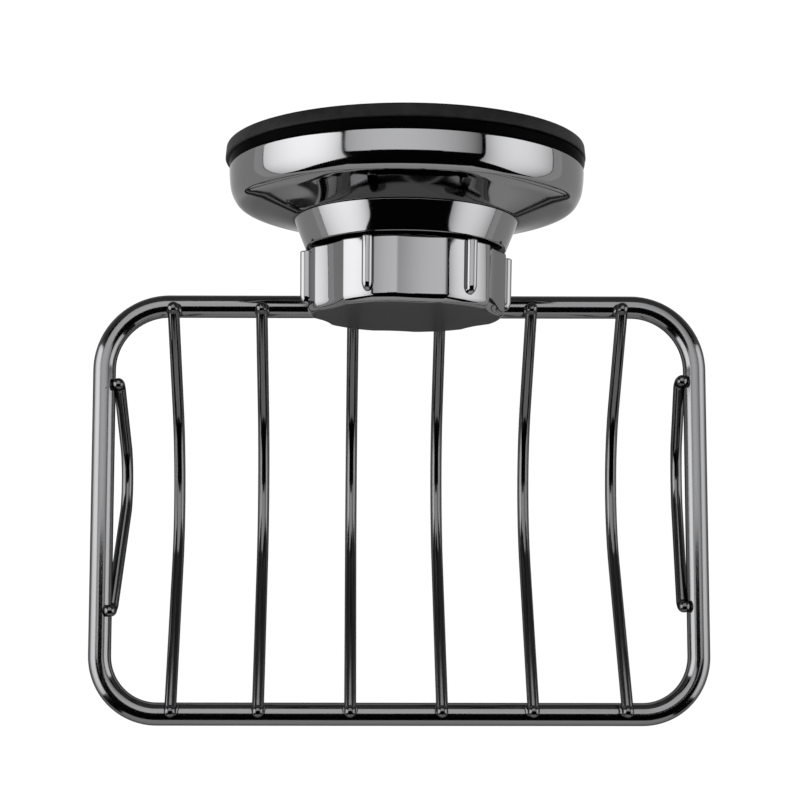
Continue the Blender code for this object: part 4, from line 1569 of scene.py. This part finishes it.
@dataclass(frozen=True)
class Panel:
    """One flat thing in the studio that the metal mirrors: a softbox, or a card that keeps light off."""

    name: str
    centre: Place
    width: float
    height: float
    strength: float
    # Share of the light that is lost towards the edges, across and up.
    droop: Point = (0.0, 0.0)
    # Share of the light that one side edge gains and the other loses.
    slope: float = 0.0
    # Width of the black border, and the rounding of the corners.
    border: float = 0.0
    corner: float = 0.0
    # The dark core's inner and outer radius, and the share of light left in it; the core is painted shade,
    # which on the card under the object stands for the object's shadow on the floor below.
    painted_shade_core: tuple[float, float, float] = (0.0, 0.0, 1.0)
    lights: bool = False
    aim: Place = (0.0, -0.05, 0.0)

    def build(self) -> None:
        """Build the panel, facing its aim."""
        shape = bmesh.new()
        half_x = self.width / 2
        half_y = self.height / 2
        corners = [(-half_x, -half_y), (half_x, -half_y), (half_x, half_y), (-half_x, half_y)]
        shape.faces.new([shape.verts.new((x, y, 0)) for x, y in corners])
        panel = solid_from(shape, self.name)
        facing = (Vector(self.aim) - Vector(self.centre)).normalized()
        upright = Vector((0, 0, 1)) if abs(facing.z) < 0.99 else Vector((0, 1, 0))
        across = upright.cross(facing).normalized()
        turn = Matrix((across, facing.cross(across), facing)).transposed().to_4x4()
        panel.matrix_world = Matrix.Translation(self.centre) @ turn
        panel.data.materials.append(self.glow())
        panel.visible_camera = False
        panel.visible_shadow = False
        panel.visible_diffuse = self.lights

    def glow(self) -> bpy.types.Material:
        """Build the panel's light: brightest in the middle, with a thin black border and a dark core of
        painted shade.

        Returns:
            The material.
        """
        book = MaterialBook(f"{self.name}_light")
        book.tree.nodes.remove(book.shader)
        split = book.add("ShaderNodeSeparateXYZ")
        book.link(book.place(), split.inputs["Vector"])
        shares = []
        squares = []
        beyond = []
        for axis, span in (("X", self.width), ("Y", self.height)):
            share = book.calculate("DIVIDE", split.outputs[axis], span / 2)
            shares.append(share)
            squares.append(book.calculate("MULTIPLY", share, share))
            away = book.calculate("ABSOLUTE", split.outputs[axis])
            over = book.calculate("MAXIMUM", book.calculate("SUBTRACT", away, span / 2 - self.corner), 0.0)
            beyond.append(book.calculate("MULTIPLY", over, over))
        level = self.strength
        for square, droop in zip(squares, self.droop):
            level = book.calculate("MULTIPLY_ADD", square, -droop * self.strength, level)
        level = book.calculate("MULTIPLY_ADD", shares[0], self.slope * self.strength, level)
        if self.corner > 0:
            edge = book.calculate("SQRT", book.calculate("ADD", *beyond))
            inside = book.calculate("LESS_THAN", edge, self.corner - self.border)
            level = book.calculate("MULTIPLY", level, inside)
        # Painted shade: the glow is darkened round the panel's middle.
        near, far, painted_shade_level = self.painted_shade_core
        if far > 0:
            radius = book.add("ShaderNodeVectorMath", operation="LENGTH")
            book.link(book.place(), radius.inputs[0])
            painted_shade_core = book.remap(radius.outputs["Value"], (near, far), (painted_shade_level, 1.0))
            level = book.calculate("MULTIPLY", level, painted_shade_core)
        emission = book.add("ShaderNodeEmission")
        book.link(level, emission.inputs["Strength"])
        output = book.tree.nodes["Material Output"]
        book.link(emission.outputs[0], output.inputs["Surface"])
        return book.material


@dataclass
class Studio:
    """Pale floor, white surroundings, softboxes, cards and the camera."""

    floor_height: float = -0.30
    floor_size: float = 12.0
    floor_squares: int = 8
    floor_dark: Colour = (0.86, 0.86, 0.86)
    floor_pale: Colour = (0.90, 0.90, 0.90)
    floor_mottle: float = 0.4
    floor_roughness: float = 0.9
    shadow_share: float = 0.25
    fill: float = 0.55
    camera_place: Place = (-14.18 * MM, -104.83 * MM, 407.91 * MM)
    camera_forward: Place = (0.03189, 0.12603, -0.99151)
    camera_up: Place = (-0.00620, 0.99202, 0.12590)
    focal_pixels: float = 1981.0
    frame_pixels: float = 800.0
    sensor_width: float = 36.0
    camera_near: float = 0.01

    def build(self) -> None:
        """Build the camera first, then everything round the object."""
        self.camera()
        self.floor()
        self.surroundings()
        for panel in self.panels():
            panel.build()
            log.info("panel %s", panel.name)
        bpy.context.scene.view_settings.view_transform = "Standard"

    def camera(self) -> None:
        """Place the camera at the photograph's viewing angle."""
        data = bpy.data.cameras.new("photo_camera")
        data.lens = self.focal_pixels / self.frame_pixels * self.sensor_width
        data.sensor_width = self.sensor_width
        data.clip_start = self.camera_near
        forward = Vector(self.camera_forward).normalized()
        right = forward.cross(Vector(self.camera_up)).normalized()
        up = right.cross(forward)
        camera = bpy.data.objects.new("photo_camera", data)
        turn = Matrix((right, up, -forward)).transposed().to_4x4()
        camera.matrix_world = Matrix.Translation(self.camera_place) @ turn
        bpy.context.scene.collection.objects.link(camera)
        bpy.context.scene.camera = camera

    @staticmethod
    def seen(book: NodeBook) -> bpy.types.NodeSocket:
        """Tell the rays that show the background: camera, glossy and transmission rays.

        Args:
            book: The node tree that asks.

        Returns:
            1 for such a ray, 0 for any other.
        """
        rays = book.add("ShaderNodeLightPath").outputs
        either = book.calculate("MAXIMUM", rays["Is Camera Ray"], rays["Is Glossy Ray"])
        return book.calculate("MAXIMUM", either, rays["Is Transmission Ray"])

    def floor(self) -> None:
        """Build the plain pale floor, which keeps a share of the object's shadow."""
        shape = bmesh.new()
        bmesh.ops.create_grid(shape, x_segments=self.floor_squares, y_segments=self.floor_squares,
                              size=self.floor_size / 2)
        floor = solid_from(shape, "studio_floor")
        floor.location = (0, 0, self.floor_height)
        book = MaterialBook("floor_paper")
        mottle = book.noise(book.place(), self.floor_mottle, detail=2.0)
        book.tint(mottle, self.floor_dark, self.floor_pale)
        book.shader.inputs["Roughness"].default_value = self.floor_roughness
        emission = book.add("ShaderNodeEmission")
        emission.inputs["Strength"].default_value = 1.0
        mix = book.add("ShaderNodeMixShader")
        book.link(book.calculate("MULTIPLY", self.seen(book), 1 - self.shadow_share), mix.inputs["Fac"])
        book.link(book.shader.outputs[0], mix.inputs[1])
        book.link(emission.outputs[0], mix.inputs[2])
        book.link(mix.outputs[0], book.tree.nodes["Material Output"].inputs["Surface"])
        floor.data.materials.append(book.material)

    def surroundings(self) -> None:
        """Make the world white for the rays that show it and a soft fill for the others."""
        world = bpy.data.worlds.new("white_room")
        world.use_nodes = True
        book = NodeBook(world.node_tree)
        background = book.tree.nodes["Background"]
        background.inputs["Color"].default_value = (1, 1, 1, 1)
        level = book.remap(self.seen(book), (0.0, 1.0), (self.fill, 1.0))
        book.link(level, background.inputs["Strength"])
        bpy.context.scene.world = world

    def panels(self) -> list[Panel]:
        """List what stands round the object.

        Returns:
            Three softboxes that light it, and the cards that it mirrors.
        """
        left = Panel("softbox_left", (-0.50, -0.1175, 0.225), 0.585, 0.67, 3.87, droop=(0.05, 0.45),
                     slope=0.136, border=0.006, corner=0.05, lights=True, aim=(0.0, -0.1175, 0.225))
        right = Panel("softbox_right", (0.50, -0.1175, 0.185), 0.585, 0.57, 2.95, droop=(0.05, 0.55),
                      slope=-0.136, border=0.006, corner=0.05, lights=True, aim=(0.0, -0.1175, 0.185))
        ceiling = Panel("softbox_ceiling", (0.05, 0.435, 0.62), 1.14, 1.12, 2.0, droop=(0.55, 0.0),
                        slope=0.27, border=0.004, corner=0.03, lights=True, aim=(0.05, 0.435, 0.0))
        hood = Panel("card_camera", (-0.014, -0.11, 0.33), 0.26, 0.10, 0.004, aim=(-0.014, -0.11, 0.0))
        above = Panel("card_above", (0.0, 0.10, 0.64), 3.2, 2.80, 0.004, aim=(0.0, 0.10, 0.0))
        # The card under the object glows dimly and is seen only in the metal; its dark core is a painted
        # shadow of the object, mirrored in the parts' lower faces.
        below = Panel("card_below", (0.005, -0.069, -0.20), 1.0, 0.80, 0.75, painted_shade_core=(0.045, 0.11, 0.15),
                      aim=(0.005, -0.069, 0.0))
        behind = Panel("card_behind", (0.0, 0.40, -0.03), 3.2, 0.74, 0.15, aim=(0.0, 0.0, -0.03))
        wings = [Panel(f"card_{name}", (x, -0.58, 0.20), 0.34, 0.70, 0.004, aim=(0.0, -0.58, 0.20))
                 for name, x in (("left", -0.505), ("right", 0.505))]
        return [left, right, ceiling, hood, above, below, behind, *wings]


def main() -> None:
    """Build the studio and the soap dish."""
    logging.basicConfig(level=logging.INFO, format="%(name)s: %(message)s")
    Studio().build()
    WallHolder().build()
    ScrewKnob().build()
    WireBasket().build()
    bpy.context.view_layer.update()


if __name__ == "__main__":
    main()
